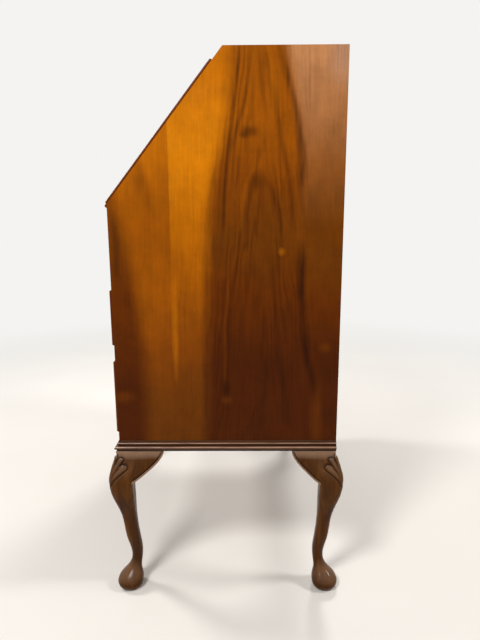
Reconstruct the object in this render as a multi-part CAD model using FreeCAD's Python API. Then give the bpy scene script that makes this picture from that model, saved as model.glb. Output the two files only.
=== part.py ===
import FreeCAD, Part
import math
import os
from FreeCAD import Vector

# Fall-front bureau on cabriole legs. Millimetres and degrees, +Z up, the front faces -Y.
# The origin lies on the floor under the middle of the legs.

# Outside of the case
CASE_WIDTH = 710.0
CASE_DEPTH = 418.0

# Heights, stacked from the floor to the writing surface
LEG_HEIGHT = 300.0
BASE_HEIGHT = 20.0
BOTTOM_BOARD = 20.0
BOTTOM_OPENING = 133.0
RAIL_HEIGHT = 38.5
MIDDLE_OPENING = 96.0
TOP_OPENING = 84.0
WRITING_BOARD = 20.0

# Boards of the case
SIDE_PANEL = 18.0
TOP_BOARD = 18.0
BACK_PANEL = 6.0
BACK_REBATE = 8.0
RAIL_DEPTH = 60.0
RUNNER_HEIGHT = 12.0
RUNNER_WIDTH = 26.0
LOCK_RAIL_DEPTH = 22.0
LOCK_RAIL_DROP = 12.0

# Moulded base frame between the case and the legs
BASE_PROUD = 7.0
BASE_RAIL_WIDTH = 56.0
FILLET_HEIGHT = 3.5
FILLET_PROUD = 1.2
UPPER_BEAD = 2.2
UPPER_BEAD_PROUD = 4.4
LOWER_BEAD = 3.1
LOWER_BEAD_PROUD = 8.4
UNDERCUT_HEIGHT = 3.8
UNDERCUT_PROUD = 4.2

# Cabriole legs. Knee stations: drop below the top of the leg, reach beyond the block's outer faces, width,
# corner radius as a share of the width. Foot stations: the same with the height above the floor.
LEG_BLOCK = 42.0
KNEE_STATIONS = (
    (0.0, 0.0, LEG_BLOCK, 0.07),
    (13.0, 1.8, 43.8, 0.11),
    (38.0, 9.5, 48.5, 0.20),
    (63.0, 14.0, 46.0, 0.25),
    (96.0, 9.5, 40.5, 0.29),
    (136.0, -2.0, 29.0, 0.34),
)
FOOT_STATIONS = (
    (104.0, -9.5, 26.0, 0.41),
    (68.0, -16.0, 22.0, 0.46),
    (50.0, -14.0, 22.2, 0.46),
    (38.0, -6.0, 29.5, 0.46),
    (29.0, 3.5, 41.0, 0.46),
    (18.0, 11.0, 50.5, 0.46),
    (6.5, 9.8, 48.0, 0.46),
    (0.0, 4.8, 38.5, 0.46),
)

# Ears beside the knees
EAR_REACH = 86.0
EAR_DROP = 56.0
EAR_THICK = 20.0
EAR_SETBACK = 1.5
EAR_BULGE = 9.0
EAR_CURVE = 0.62
EAR_STATIONS = (0.03, 0.13, 0.36, 0.70, 1.00, 1.38)

# Sloping fall
FALL_SLOPE = 51.0
FALL_THICK = 20.0
FALL_LIP = 5.5
FALL_LENGTH = 308.0
FALL_TOP_MARGIN = 27.93
FALL_LAP = 8.0
FALL_TONGUE = 1.0
TONGUE_THICK = 10.0
TONGUE_ROUND = 2.5
FALL_LIP_SETBACK = 1.5
FALL_SIDE_PLAY = 1.0

# Thumbnail edge of the fall and the drawer fronts
FIELD_RAISE = 1.0
THUMBNAIL = 6.0
THUMBNAIL_ROUND = 2.8

# Leather let into the fall
LEATHER_THICK = 1.2
LEATHER_MARGIN_SIDE = 44.0
LEATHER_START = 46.0
LEATHER_LOCK_GAP = 10.0

# Butt hinges of the fall
HINGE_LENGTH = 60.0
HINGE_INSET = 120.0
HINGE_LEAF = 22.0
HINGE_LEAF_THICK = 2.0
KNUCKLE_RADIUS = 3.2
KNUCKLE_COUNT = 5
PIN_RADIUS = 1.6

# Lock, bolt and key of the fall
LOCK_WIDTH = 48.0
LOCK_HEIGHT = 42.0
LOCK_DEPTH = 11.0
LOCK_WALL = 1.5
LOCK_EDGE = 8.0
KEY_DROP = 36.0
KEY_RADIUS = 2.0
KEY_STEM = 14.0
KEY_BIT_REACH = 7.0
KEY_BIT_THICK = 2.4
KEY_BIT_LENGTH = 4.0
KEY_BOW_RADIUS = 10.0
KEY_BOW_RING = 2.0
KEYHOLE_RADIUS = 3.2
KEYHOLE_SLOT = 2.6
KEYHOLE_DROP = 8.0
BOLT_WIDTH = 16.0
BOLT_THICK = 4.0
BOLT_LENGTH = 24.0
BOLT_SETBACK = 2.0
STRIKE_WIDTH = 40.0
STRIKE_DEPTH = 12.0
STRIKE_THICK = 1.5
MORTISE_DEPTH = 10.0
ESCUTCHEON_WIDTH = 24.0
ESCUTCHEON_HEIGHT = 38.0
ESCUTCHEON_THICK = 1.2

# Lopers that carry the open fall
LOPER_WIDTH = 22.0
LOPER_BACK_GAP = 82.0
LOPER_GUIDE = 10.0
LOPER_TOP_GAP = 0.5
LOPER_KNOB_RADIUS = 4.5
LOPER_KNOB_PROUD = 7.5

# Drawers
DRAWER_FRONT = 15.0
DRAWER_SIDE = 10.0
DRAWER_BOTTOM = 5.0
DRAWER_BOTTOM_RAISE = 8.0
DRAWER_GROOVE = 4.0
DRAWER_BACK_GAP = 32.0
DRAWER_SIDE_DROP = 8.0
LIP_PROUD = 6.0
LIP_OVERLAP = 3.5
LIP_SETBACK = 4.0

# Drop handles
HANDLE_INSET = 165.0
HANDLE_CENTRES = 76.0
HANDLE_RAISE = 6.0
HANDLE_STANDOFF = 10.6
PLATE_THICK = 1.5
PLATE_END = 12.0
PLATE_CREST = 24.0
PLATE_APRON = 28.0
PLATE_WAIST = 10.0
POST_SHANK = 2.5
POST_COLLAR = 5.5
POST_NECK = 2.8
POST_BALL = 4.0
NUT_RADIUS = 5.0
NUT_THICK = 4.0
BAIL_RADIUS = 2.0
BAIL_PIN = 1.5
BAIL_PIN_REACH = 4.0
BAIL_DROP = 30.0
BAIL_NECK_BEND = 6.0
BAIL_CORNER_BEND = 10.0

# Writing gallery
GALLERY_SETBACK = 3.0
GALLERY_SHELF = 8.0
PEN_OPENING = 66.0
PEN_SUPPORT = 8.0
PIGEONHOLES = 6
DIVIDER_THICK = 6.0
VALANCE_THICK = 6.0
VALANCE_HEIGHT = 30.0
VALANCE_SCALLOP = 16.0
VALANCE_MARGIN = 7.0
PEN_FRONT = 10.0
PEN_SIDE = 6.0
PEN_BOTTOM = 4.0
PEN_BOTTOM_RAISE = 4.0
PEN_GROOVE = 3.0
PEN_BACK_GAP = 12.0
PEN_KNOB_RADIUS = 7.0
PEN_KNOB_PROUD = 14.0
KNOB_DOWEL = 3.0

# Countersunk screws
WOOD_SCREW_HEAD = 4.0
WOOD_SCREW_SHANK = 2.0
LEG_SCREW_LENGTH = 52.0
LEG_SCREW_NEAR = 17.0
LEG_SCREW_FAR = 31.0
BACK_SCREW_LENGTH = 22.0
BACK_SCREW_COUNT = 5
BACK_SCREW_MARGIN = 40.0
HINGE_SCREW_HEAD = 3.0
HINGE_SCREW_SHANK = 1.4
HINGE_SCREW_LENGTH = 10.0
HINGE_SCREW_COUNT = 3
SCREW_HEAD_DEPTH = 2.0
SCREW_SLOT_WIDTH = 0.9
SCREW_SLOT_DEPTH = 0.8

# Clearances
SEAT_GAP = 0.3
SIDE_PLAY = 1.5
HEAD_ROOM = 2.0
LOPER_PLAY = 0.5
FALL_GAP = 1.0
RUNNING_GAP = 0.06
HOLE_GAP = 0.1
KNUCKLE_GAP = 0.3
KNUCKLE_RELIEF = 0.6

# Planes of the case
HALF_WIDTH = CASE_WIDTH / 2
HALF_INSIDE = HALF_WIDTH - SIDE_PANEL
FRONT = (BASE_PROUD - CASE_DEPTH) / 2
BACK = FRONT + CASE_DEPTH
BACK_INSIDE = BACK - BACK_PANEL

# The fall turns about an axis on the writing surface. Its own frame has x across, u up the slope from the
# axis and n out of the inner face. The case is as much higher as the fall and the margin above it need.
SLOPE_SIN = math.sin(math.radians(FALL_SLOPE))
SLOPE_COS = math.cos(math.radians(FALL_SLOPE))
LIP_BACK = FALL_THICK - FALL_LIP
SLOPE_EDGE = LIP_BACK - SEAT_GAP
UPPER_HEIGHT = SLOPE_SIN * (FALL_LENGTH + FALL_TOP_MARGIN) + SLOPE_COS * SLOPE_EDGE

# Levels
BASE_TOP = LEG_HEIGHT + BASE_HEIGHT
BOTTOM_RUN = BASE_TOP + BOTTOM_BOARD
LOWER_RAIL = BOTTOM_RUN + BOTTOM_OPENING
MIDDLE_RUN = LOWER_RAIL + RAIL_HEIGHT
UPPER_RAIL = MIDDLE_RUN + MIDDLE_OPENING
TOP_RUN = UPPER_RAIL + RAIL_HEIGHT
BOARD_UNDER = TOP_RUN + TOP_OPENING
WRITING_TOP = BOARD_UNDER + WRITING_BOARD
OPEN_UNDER = WRITING_TOP - FALL_THICK
CASE_TOP = WRITING_TOP + UPPER_HEIGHT
CEILING = CASE_TOP - TOP_BOARD

# Places on the fall. Its lip hangs just clear of the side panels' front edges when open.
AXIS_INSET = (SLOPE_SIN * SLOPE_EDGE - SLOPE_COS * FALL_GAP) / (1 + SLOPE_COS)
AXIS_Y = FRONT + AXIS_INSET
LIP_START = AXIS_INSET + FALL_GAP
LEAF_END = FALL_LENGTH - FALL_LAP
RAIL_START = LEAF_END + FALL_GAP
FALL_HALF = HALF_INSIDE - FALL_SIDE_PLAY
FALL_LIP_HALF = HALF_WIDTH - FALL_LIP_SETBACK
HINGE_X = HALF_INSIDE - HINGE_INSET
KEY_U = LEAF_END - KEY_DROP
LOCK_TOP = LEAF_END - LOCK_EDGE
LOCK_LOW = LOCK_TOP - LOCK_HEIGHT
LEATHER_END = LOCK_LOW - LEATHER_LOCK_GAP
BOLT_N = LOCK_DEPTH / 2

# Lopers stand between the side panels and their guides
LOPER_OUT = HALF_INSIDE - LOPER_PLAY
LOPER_IN = LOPER_OUT - LOPER_WIDTH
GUIDE_OUT = LOPER_IN - LOPER_PLAY
GUIDE_IN = GUIDE_OUT - LOPER_GUIDE

# Gallery, close behind the lock rail
LOCK_RAIL_BACK = AXIS_Y + SLOPE_COS * RAIL_START + SLOPE_SIN * LOCK_RAIL_DROP + LOCK_RAIL_DEPTH
GALLERY_FRONT = LOCK_RAIL_BACK + GALLERY_SETBACK
SHELF_UNDER = WRITING_TOP + PEN_OPENING
SHELF_TOP = SHELF_UNDER + GALLERY_SHELF
SUPPORT_X = HALF_INSIDE / 3

UP = Vector(0, 0, 1)
FORWARD = Vector(0, -1, 0)
BACKWARD = Vector(0, 1, 0)
ACROSS = Vector(1, 0, 0)
FLAT = 1e-6


def slope_point(u, n):
    """Place (y, z) of a point of the closed fall's own frame."""
    y = AXIS_Y + SLOPE_COS * u - SLOPE_SIN * n
    z = WRITING_TOP + SLOPE_SIN * u + SLOPE_COS * n
    return y, z


def slope_y(n, z):
    """Where the plane at n above the fall's inner face passes the level z."""
    u = (z - WRITING_TOP - SLOPE_COS * n) / SLOPE_SIN
    return slope_point(u, n)[0]


def slope_z(n, y):
    """Where the plane at n above the fall's inner face passes the depth y."""
    u = (y - AXIS_Y + SLOPE_SIN * n) / SLOPE_COS
    return slope_point(u, n)[1]


def block(x0, x1, y0, y1, z0, z1):
    """Square-edged piece between two corners."""
    return Part.makeBox(x1 - x0, y1 - y0, z1 - z0, Vector(x0, y0, z0))


def traced(steps, plane):
    """Face inside an outline: each step is a point for a straight edge, or a pair of points for an arc."""
    start = plane(*steps[0])
    here = start
    edges = []
    for step in steps[1:]:
        if isinstance(step[0], tuple):
            middle = plane(*step[0])
            end = plane(*step[1])
            edges.append(Part.Arc(here, middle, end).toShape())
        else:
            end = plane(*step)
            edges.append(Part.LineSegment(here, end).toShape())
        here = end
    if here.distanceToPoint(start) > FLAT:
        edges.append(Part.LineSegment(here, start).toShape())
    return Part.Face(Part.Wire(edges))


def prism_across(steps, x0, x1):
    """Outline of (y, z) steps carried along X."""
    face = traced(steps, lambda y, z: Vector(x0, y, z))
    return face.extrude(Vector(x1 - x0, 0, 0))


def turned(steps, origin, direction):
    """Outline of (radius, distance) steps turned about the direction through the origin."""
    face = traced(steps, lambda radius, along: Vector(radius, 0, along))
    solid = face.revolve(Vector(0, 0, 0), UP, 360)
    solid.Placement = FreeCAD.Placement(origin, FreeCAD.Rotation(UP, direction))
    return solid


def rod(radius, length, start, direction):
    """Round bar."""
    return Part.makeCylinder(radius, length, start, direction)


def mirrored_x(shape):
    """The same piece on the other side of the desk."""
    return shape.mirror(Vector(0, 0, 0), Vector(1, 0, 0))


def mirrored_y(shape):
    """The same piece at the other end of the depth."""
    return shape.mirror(Vector(0, 0, 0), Vector(0, 1, 0))


def cut_all(shape, tools):
    """Shape with every tool taken out of it."""
    return shape.cut(list(tools)) if tools else shape


def joined(first, *others):
    """One solid from touching or crossing ones, with shared faces merged."""
    return first.fuse(list(others)).removeSplitter()


def tilted(shape):
    """Piece drawn flat in the fall's own frame (x, u, n), set on the closed slope."""
    turn = FreeCAD.Rotation(ACROSS, FALL_SLOPE)
    seat = FreeCAD.Placement(Vector(0, AXIS_Y, WRITING_TOP), turn)
    placed = shape.copy()
    placed.Placement = seat.multiply(placed.Placement)
    return placed


def on_board(shape):
    """Piece drawn flat in the fall's frame, laid on the writing board behind the axis instead."""
    placed = shape.mirror(Vector(0, 0, 0), UP)
    placed.translate(Vector(0, AXIS_Y, WRITING_TOP))
    return placed


def screw_profile(head, shank, length, gap):
    """Half outline of a countersunk screw, or with a gap, of its hole."""
    tip = length - 2 * shank
    return (
        (0, -gap),
        (head + gap, -gap),
        (shank + gap, SCREW_HEAD_DEPTH + gap),
        (shank + gap, tip + gap),
        (0, length + gap),
    )


def screw(head, shank, length, origin, direction):
    """Countersunk slotted screw with its head's face at the origin."""
    body = turned(screw_profile(head, shank, length, 0), Vector(0, 0, 0), UP)
    half = SCREW_SLOT_WIDTH / 2
    slot = block(-half, half, -head, head, 0, SCREW_SLOT_DEPTH)
    body = body.cut(slot)
    body.Placement = FreeCAD.Placement(origin, FreeCAD.Rotation(UP, direction))
    return body


def screw_hole(head, shank, length, origin, direction):
    """Tapered hole that the screw fills."""
    return turned(screw_profile(head, shank, length, HOLE_GAP), origin, direction)


def save(node, *solids):
    """One file for each named piece."""
    shape = solids[0] if len(solids) == 1 else Part.makeCompound(list(solids))
    shape.exportStep(os.path.join("parts", node + ".step"))


def spread(count, low, high):
    """Evenly spaced places from low to high."""
    return [low + (high - low) * step / (count - 1) for step in range(count)]


def leg_screw_places():
    """Points at the top of the base frame over the front left leg."""
    left = -HALF_WIDTH - BASE_PROUD
    fore = FRONT - BASE_PROUD
    pairs = ((LEG_SCREW_NEAR, LEG_SCREW_FAR), (LEG_SCREW_FAR, LEG_SCREW_NEAR))
    return [Vector(left + inward, fore + back, BASE_TOP) for inward, back in pairs]


def all_corners(make):
    """What one function makes for the front left corner, repeated at the other three."""
    first = [make(place) for place in leg_screw_places()]
    left = first + [mirrored_y(shape) for shape in first]
    return left + [mirrored_x(shape) for shape in left]


def leg_screws():
    """Screws through the base frame into the legs."""
    down = UP * -1
    return all_corners(lambda at: screw(WOOD_SCREW_HEAD, WOOD_SCREW_SHANK, LEG_SCREW_LENGTH, at, down))


def leg_screw_holes():
    """Holes for the leg screws."""
    down = UP * -1
    return all_corners(lambda at: screw_hole(WOOD_SCREW_HEAD, WOOD_SCREW_SHANK, LEG_SCREW_LENGTH, at, down))


def back_screw_places():
    """Points on the back panel's outer face, over the side panels' rebates."""
    x = HALF_INSIDE + BACK_REBATE / 2
    levels = spread(BACK_SCREW_COUNT, BASE_TOP + BACK_SCREW_MARGIN, CEILING - BACK_SCREW_MARGIN)
    return [Vector(side * x, BACK, z) for side in (-1, 1) for z in levels]


def back_screws():
    """Screws that hold the back panel to the sides."""
    places = back_screw_places()
    return [screw(WOOD_SCREW_HEAD, WOOD_SCREW_SHANK, BACK_SCREW_LENGTH, at, FORWARD) for at in places]


def back_screw_holes():
    """Holes for the back panel's screws."""
    places = back_screw_places()
    return [screw_hole(WOOD_SCREW_HEAD, WOOD_SCREW_SHANK, BACK_SCREW_LENGTH, at, FORWARD) for at in places]


def hinge_screw_places():
    """Points on the hinge leaves' faces in the fall's frame."""
    reach = HINGE_LENGTH / 2 - 3 * HINGE_SCREW_HEAD
    across = spread(HINGE_SCREW_COUNT, -reach, reach)
    u = (HINGE_LEAF + KNUCKLE_RADIUS) / 2
    return [Vector(side * HINGE_X + x, u, 0) for side in (-1, 1) for x in across]


def hinge_screws():
    """Screws of both fall leaves, drawn flat."""
    places = hinge_screw_places()
    return [screw(HINGE_SCREW_HEAD, HINGE_SCREW_SHANK, HINGE_SCREW_LENGTH, at, UP) for at in places]


def hinge_screw_holes():
    """Holes for the hinge screws, drawn flat."""
    places = hinge_screw_places()
    return [screw_hole(HINGE_SCREW_HEAD, HINGE_SCREW_SHANK, HINGE_SCREW_LENGTH, at, UP) for at in places]


def hinge_barrels(radius, length):
    """Round bars along the fall's axis at both hinges."""
    return [rod(radius, length, Vector(side * HINGE_X - length / 2, 0, 0), ACROSS) for side in (-1, 1)]


def hinge_leaf(centre, parity):
    """One leaf with every second knuckle, drawn flat in the fall's frame."""
    left = centre - HINGE_LENGTH / 2
    plate = block(left, left + HINGE_LENGTH, 0, HINGE_LEAF, 0, HINGE_LEAF_THICK)
    step = HINGE_LENGTH / KNUCKLE_COUNT
    for index in range(KNUCKLE_COUNT):
        start = left + index * step
        if index % 2 == parity:
            shorter = step - 2 * KNUCKLE_GAP
            knuckle = rod(KNUCKLE_RADIUS, shorter, Vector(start + KNUCKLE_GAP, 0, 0), ACROSS)
            plate = plate.fuse(knuckle)
        else:
            plate = plate.cut(rod(KNUCKLE_RADIUS + KNUCKLE_GAP, step, Vector(start, 0, 0), ACROSS))
    bore = rod(PIN_RADIUS + RUNNING_GAP, HINGE_LENGTH, Vector(left, 0, 0), ACROSS)
    return cut_all(plate.cut(bore).removeSplitter(), hinge_screw_holes())


def hinge_pocket():
    """Room for both leaves and their barrels in the wood, drawn flat."""
    half = HINGE_LENGTH / 2
    rooms = hinge_barrels(KNUCKLE_RADIUS + KNUCKLE_RELIEF, HINGE_LENGTH)
    for side in (-1, 1):
        middle = side * HINGE_X
        rooms.append(block(middle - half, middle + half, -HINGE_LEAF, HINGE_LEAF, 0, HINGE_LEAF_THICK))
    return rooms


def side_panel():
    """Right side: upright front edge, then the slope that the fall closes on."""
    outline = (
        (FRONT, BASE_TOP),
        (FRONT, slope_z(SLOPE_EDGE, FRONT)),
        (slope_y(SLOPE_EDGE, CASE_TOP), CASE_TOP),
        (BACK, CASE_TOP),
        (BACK, BASE_TOP),
    )
    panel = prism_across(outline, HALF_INSIDE, HALF_WIDTH)
    rebate = block(HALF_INSIDE, HALF_INSIDE + BACK_REBATE, BACK_INSIDE, BACK, BASE_TOP, CEILING)
    return cut_all(panel.cut(rebate), back_screw_holes())


def top_board():
    """Top between the sides, bevelled to the slope."""
    outline = (
        (slope_y(SLOPE_EDGE, CEILING), CEILING),
        (slope_y(SLOPE_EDGE, CASE_TOP), CASE_TOP),
        (BACK, CASE_TOP),
        (BACK, CEILING),
    )
    return prism_across(outline, -HALF_INSIDE, HALF_INSIDE)


def strike_pocket():
    """Room for the strike plate and the bolt in the lock rail, in the fall's frame."""
    half = STRIKE_WIDTH / 2
    low = BOLT_N - STRIKE_DEPTH / 2
    bolt_half = BOLT_WIDTH / 2 + 2 * SEAT_GAP
    reach = BOLT_THICK / 2 + 2 * SEAT_GAP
    seat = block(-half, half, RAIL_START, RAIL_START + STRIKE_THICK, low, low + STRIKE_DEPTH)
    end = RAIL_START + STRIKE_THICK + MORTISE_DEPTH
    mortise = block(-bolt_half, bolt_half, RAIL_START, end, BOLT_N - reach, BOLT_N + reach)
    return seat, mortise


def lock_rail():
    """Rail under the top that the fall's lip closes over and the bolt locks into."""
    inner_y, inner_z = slope_point(RAIL_START, -LOCK_RAIL_DROP)
    outline = (
        slope_point(RAIL_START, SLOPE_EDGE),
        (slope_y(SLOPE_EDGE, CEILING), CEILING),
        (LOCK_RAIL_BACK, CEILING),
        (LOCK_RAIL_BACK, inner_z),
        (inner_y, inner_z),
    )
    rail = prism_across(outline, -HALF_INSIDE, HALF_INSIDE)
    return cut_all(rail, [tilted(room) for room in strike_pocket()])


def strike_plate():
    """Plate that the bolt passes, let into the lock rail."""
    seat, mortise = strike_pocket()
    return tilted(seat.cut(mortise))


def writing_board():
    """Fixed writing surface, rebated under its front edge for the open fall's tongue."""
    start = AXIS_Y + SEAT_GAP
    board = block(-HALF_INSIDE, HALF_INSIDE, start, BACK_INSIDE, BOARD_UNDER, WRITING_TOP)
    depth = FALL_TONGUE + FALL_GAP
    level = WRITING_TOP - FALL_THICK + TONGUE_THICK + FALL_GAP / 2
    rebate = block(-HALF_INSIDE, HALF_INSIDE, start, start + depth, BOARD_UNDER, level)
    rooms = [on_board(room) for room in hinge_pocket() + hinge_screw_holes()]
    return cut_all(board.cut(rebate), rooms)


def case_rail(level):
    """Rail between two drawers."""
    return block(-HALF_INSIDE, HALF_INSIDE, FRONT, FRONT + RAIL_DEPTH, level, level + RAIL_HEIGHT)


def runners():
    """Strips that carry the middle drawer, and the top drawer with the lopers, behind the rails."""
    fore = FRONT + RAIL_DEPTH
    upper = block(GUIDE_IN - RUNNER_WIDTH, HALF_INSIDE, fore, BACK_INSIDE, TOP_RUN - RUNNER_HEIGHT, TOP_RUN)
    inner = HALF_INSIDE - RUNNER_WIDTH
    middle = block(inner, HALF_INSIDE, fore, BACK_INSIDE, MIDDLE_RUN - RUNNER_HEIGHT, MIDDLE_RUN)
    return upper, middle, mirrored_x(upper), mirrored_x(middle)


def base_profile(plane):
    """Section of the base frame: beads of two sizes under a small fillet, over an undercut."""
    lower_middle = LEG_HEIGHT + UNDERCUT_HEIGHT + LOWER_BEAD
    lower_root = LOWER_BEAD_PROUD - LOWER_BEAD
    upper_middle = BASE_TOP - FILLET_HEIGHT - UPPER_BEAD
    upper_root = UPPER_BEAD_PROUD - UPPER_BEAD
    steps = (
        (-BASE_RAIL_WIDTH, LEG_HEIGHT),
        (UNDERCUT_PROUD, LEG_HEIGHT),
        (UNDERCUT_PROUD, lower_middle - LOWER_BEAD),
        (lower_root, lower_middle - LOWER_BEAD),
        ((LOWER_BEAD_PROUD, lower_middle), (lower_root, lower_middle + LOWER_BEAD)),
        (upper_root, lower_middle + LOWER_BEAD),
        (upper_root, upper_middle - UPPER_BEAD),
        ((UPPER_BEAD_PROUD, upper_middle), (upper_root, upper_middle + UPPER_BEAD)),
        (FILLET_PROUD, upper_middle + UPPER_BEAD),
        (FILLET_PROUD, BASE_TOP),
        (-BASE_RAIL_WIDTH, BASE_TOP),
    )
    return traced(steps, plane)


def mitre_plan(points):
    """Upright prism through the base frame over a plan of (x, y) points."""
    corners = [Vector(x, y, LEG_HEIGHT) for x, y in points]
    face = Part.Face(Part.makePolygon(corners + corners[:1]))
    return face.extrude(Vector(0, 0, BASE_HEIGHT))


def base_front():
    """Moulded front rail of the base frame, mitred at both ends."""
    far = HALF_WIDTH + LOWER_BEAD_PROUD
    face = base_profile(lambda proud, z: Vector(-far, FRONT - proud, z))
    rail = face.extrude(Vector(2 * far, 0, 0))
    near = HALF_WIDTH - BASE_RAIL_WIDTH
    fore = FRONT - LOWER_BEAD_PROUD
    aft = FRONT + BASE_RAIL_WIDTH
    return rail.common(mitre_plan(((-far, fore), (far, fore), (near, aft), (-near, aft))))


def base_side():
    """Moulded right rail of the base frame, mitred to the front and flush at the back."""
    far = HALF_WIDTH + LOWER_BEAD_PROUD
    fore = FRONT - LOWER_BEAD_PROUD
    face = base_profile(lambda proud, z: Vector(HALF_WIDTH + proud, fore, z))
    rail = face.extrude(Vector(0, BACK - fore, 0))
    near = HALF_WIDTH - BASE_RAIL_WIDTH
    plan = ((far, fore), (far, BACK), (near, BACK), (near, FRONT + BASE_RAIL_WIDTH))
    return rail.common(mitre_plan(plan))


def base_back():
    """Plain back rail of the base frame."""
    near = HALF_WIDTH - BASE_RAIL_WIDTH
    return block(-near, near, BACK - BASE_RAIL_WIDTH, BACK, LEG_HEIGHT, BASE_TOP)


def rounded_square(middle_x, middle_y, level, width, share):
    """Wire of a square with rounded corners."""
    half = width / 2
    radius = width * share
    flat = half - radius
    near = half - radius * (1 - math.sqrt(0.5))
    edges = []
    for quarter in range(4):
        turn = FreeCAD.Rotation(UP, 90 * quarter)
        place = FreeCAD.Placement(Vector(middle_x, middle_y, level), turn)
        corner = [Vector(half, flat, 0), Vector(near, near, 0), Vector(flat, half, 0), Vector(-flat, half, 0)]
        start, middle, end, beyond = [place.multVec(point) for point in corner]
        edges.append(Part.Arc(start, middle, end).toShape())
        edges.append(Part.LineSegment(end, beyond).toShape())
    return Part.Wire(edges)


def whole_leg():
    """Front left leg: square block, knee, ankle and pad foot in one run."""
    stations = [(LEG_HEIGHT - drop, reach, width, share) for drop, reach, width, share in KNEE_STATIONS]
    stations.extend(FOOT_STATIONS)
    left = -HALF_WIDTH - BASE_PROUD
    fore = FRONT - BASE_PROUD
    wires = []
    for level, reach, width, share in stations:
        inset = width / 2 - reach
        wires.append(rounded_square(left + inset, fore + inset, level, width, share))
    return Part.makeLoft(wires, True, False)


def ear_section(place, reach):
    """Section of an ear: flat top, back and underside, with the knee's swell on its outer side."""
    drop = EAR_DROP * reach ** EAR_CURVE
    swell = SEAT_GAP + EAR_BULGE * min(reach, 1) ** 2
    outer_low = (EAR_SETBACK - swell, LEG_HEIGHT - drop)
    outer_middle = (EAR_SETBACK - 0.62 * swell, LEG_HEIGHT - drop / 2)
    inner = EAR_SETBACK + EAR_THICK
    steps = (
        (EAR_SETBACK, LEG_HEIGHT),
        (inner, LEG_HEIGHT),
        (inner, LEG_HEIGHT - drop),
        outer_low,
        (outer_middle, (EAR_SETBACK, LEG_HEIGHT)),
    )
    return traced(steps, place).OuterWire


def ear(along_side, tip, leg):
    """Ear of the front left leg, under the side rail or under the front rail, shaped to the leg."""
    left = -HALF_WIDTH - BASE_PROUD
    fore = FRONT - BASE_PROUD
    sections = []
    for reach in EAR_STATIONS:
        run = tip - (tip - LEG_BLOCK) * reach
        if along_side:
            sections.append(ear_section(lambda across, z: Vector(left + across, fore + run, z), reach))
        else:
            sections.append(ear_section(lambda across, z: Vector(left + run, fore + across, z), reach))
    return Part.makeLoft(sections, True, False).cut(leg)


def knee_ears(leg):
    """Ears of all legs: beside every leg on the sides, and at the front legs on the front."""
    front_tip = EAR_REACH + BASE_PROUD
    left = [ear(True, front_tip, leg), ear(False, front_tip, leg), mirrored_y(ear(True, EAR_REACH, leg))]
    return left + [mirrored_x(shape) for shape in left]


def rounded_front(plate, radius, is_front):
    """Plate with the edges of its front face rounded."""
    edges = [edge for edge in plate.Edges if all(is_front(vertex.Point) for vertex in edge.Vertexes)]
    return plate.makeFillet(radius, edges)


def fall_board():
    """Fall: board between the sides, lip over their sloping edges, and a tongue under the hinge line."""
    face = FALL_THICK - FIELD_RAISE
    board = block(-FALL_HALF, FALL_HALF, SEAT_GAP, LEAF_END, 0, face)
    low = FALL_THICK - TONGUE_THICK
    tongue = block(-FALL_HALF, FALL_HALF, -FALL_TONGUE, LIP_START + THUMBNAIL, low, FALL_THICK)
    nose = [edge for edge in tongue.Edges if all(abs(v.Point.y + FALL_TONGUE) < FLAT for v in edge.Vertexes)]
    nose = [edge for edge in nose if all(abs(v.Point.z - FALL_THICK) < FLAT for v in edge.Vertexes)]
    tongue = tongue.makeFillet(TONGUE_ROUND, nose)
    lip = block(-FALL_LIP_HALF, FALL_LIP_HALF, LIP_START, FALL_LENGTH, LIP_BACK, face)
    lip = rounded_front(lip, THUMBNAIL_ROUND, lambda point: abs(point.z - face) < FLAT)
    edge = FALL_LIP_HALF - THUMBNAIL
    field = block(-edge, edge, LIP_START + THUMBNAIL, FALL_LENGTH - THUMBNAIL, LIP_BACK, FALL_THICK)
    solid = joined(board, tongue, lip, field)
    rooms = hinge_pocket() + hinge_screw_holes()
    rooms.extend([leather(), lock_room(), bolt_room(), keyhole(0, FALL_THICK)])
    return tilted(cut_all(solid, rooms))


def leather():
    """Writing leather, drawn flat."""
    half = FALL_HALF - LEATHER_MARGIN_SIDE
    return block(-half, half, LEATHER_START, LEATHER_END, 0, LEATHER_THICK)


def lock_room():
    """Outside of the lock case, drawn flat."""
    half = LOCK_WIDTH / 2
    return block(-half, half, LOCK_LOW, LOCK_TOP, 0, LOCK_DEPTH)


def bolt_room():
    """Way of the bolt through the fall's upper edge, drawn flat."""
    half = BOLT_WIDTH / 2 + SEAT_GAP
    reach = BOLT_THICK / 2 + SEAT_GAP
    return block(-half, half, LOCK_TOP - LOCK_WALL, LEAF_END, BOLT_N - reach, BOLT_N + reach)


def keyhole(low, high):
    """Round hole with a slot under it, drawn flat."""
    hole = rod(KEYHOLE_RADIUS, high - low, Vector(0, KEY_U, low), UP)
    half = KEYHOLE_SLOT / 2
    slot = block(-half, half, KEY_U - KEYHOLE_DROP, KEY_U, low, high)
    return hole.fuse(slot)


def lock_case():
    """Brass box of the lock with the key's bearing hole in its outer wall."""
    half = LOCK_WIDTH / 2 - LOCK_WALL
    inside = block(-half, half, LOCK_LOW + LOCK_WALL, LOCK_TOP - LOCK_WALL, LOCK_WALL, LOCK_DEPTH - LOCK_WALL)
    bearing = rod(KEY_RADIUS + RUNNING_GAP, LOCK_WALL, Vector(0, KEY_U, LOCK_DEPTH - LOCK_WALL), UP)
    return tilted(cut_all(lock_room(), [inside, bearing, bolt_room()]))


def lock_bolt():
    """Bolt, drawn back just inside the fall's upper edge."""
    half = BOLT_WIDTH / 2
    end = LEAF_END - BOLT_SETBACK
    reach = BOLT_THICK / 2
    return tilted(block(-half, half, end - BOLT_LENGTH, end, BOLT_N - reach, BOLT_N + reach))


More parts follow.
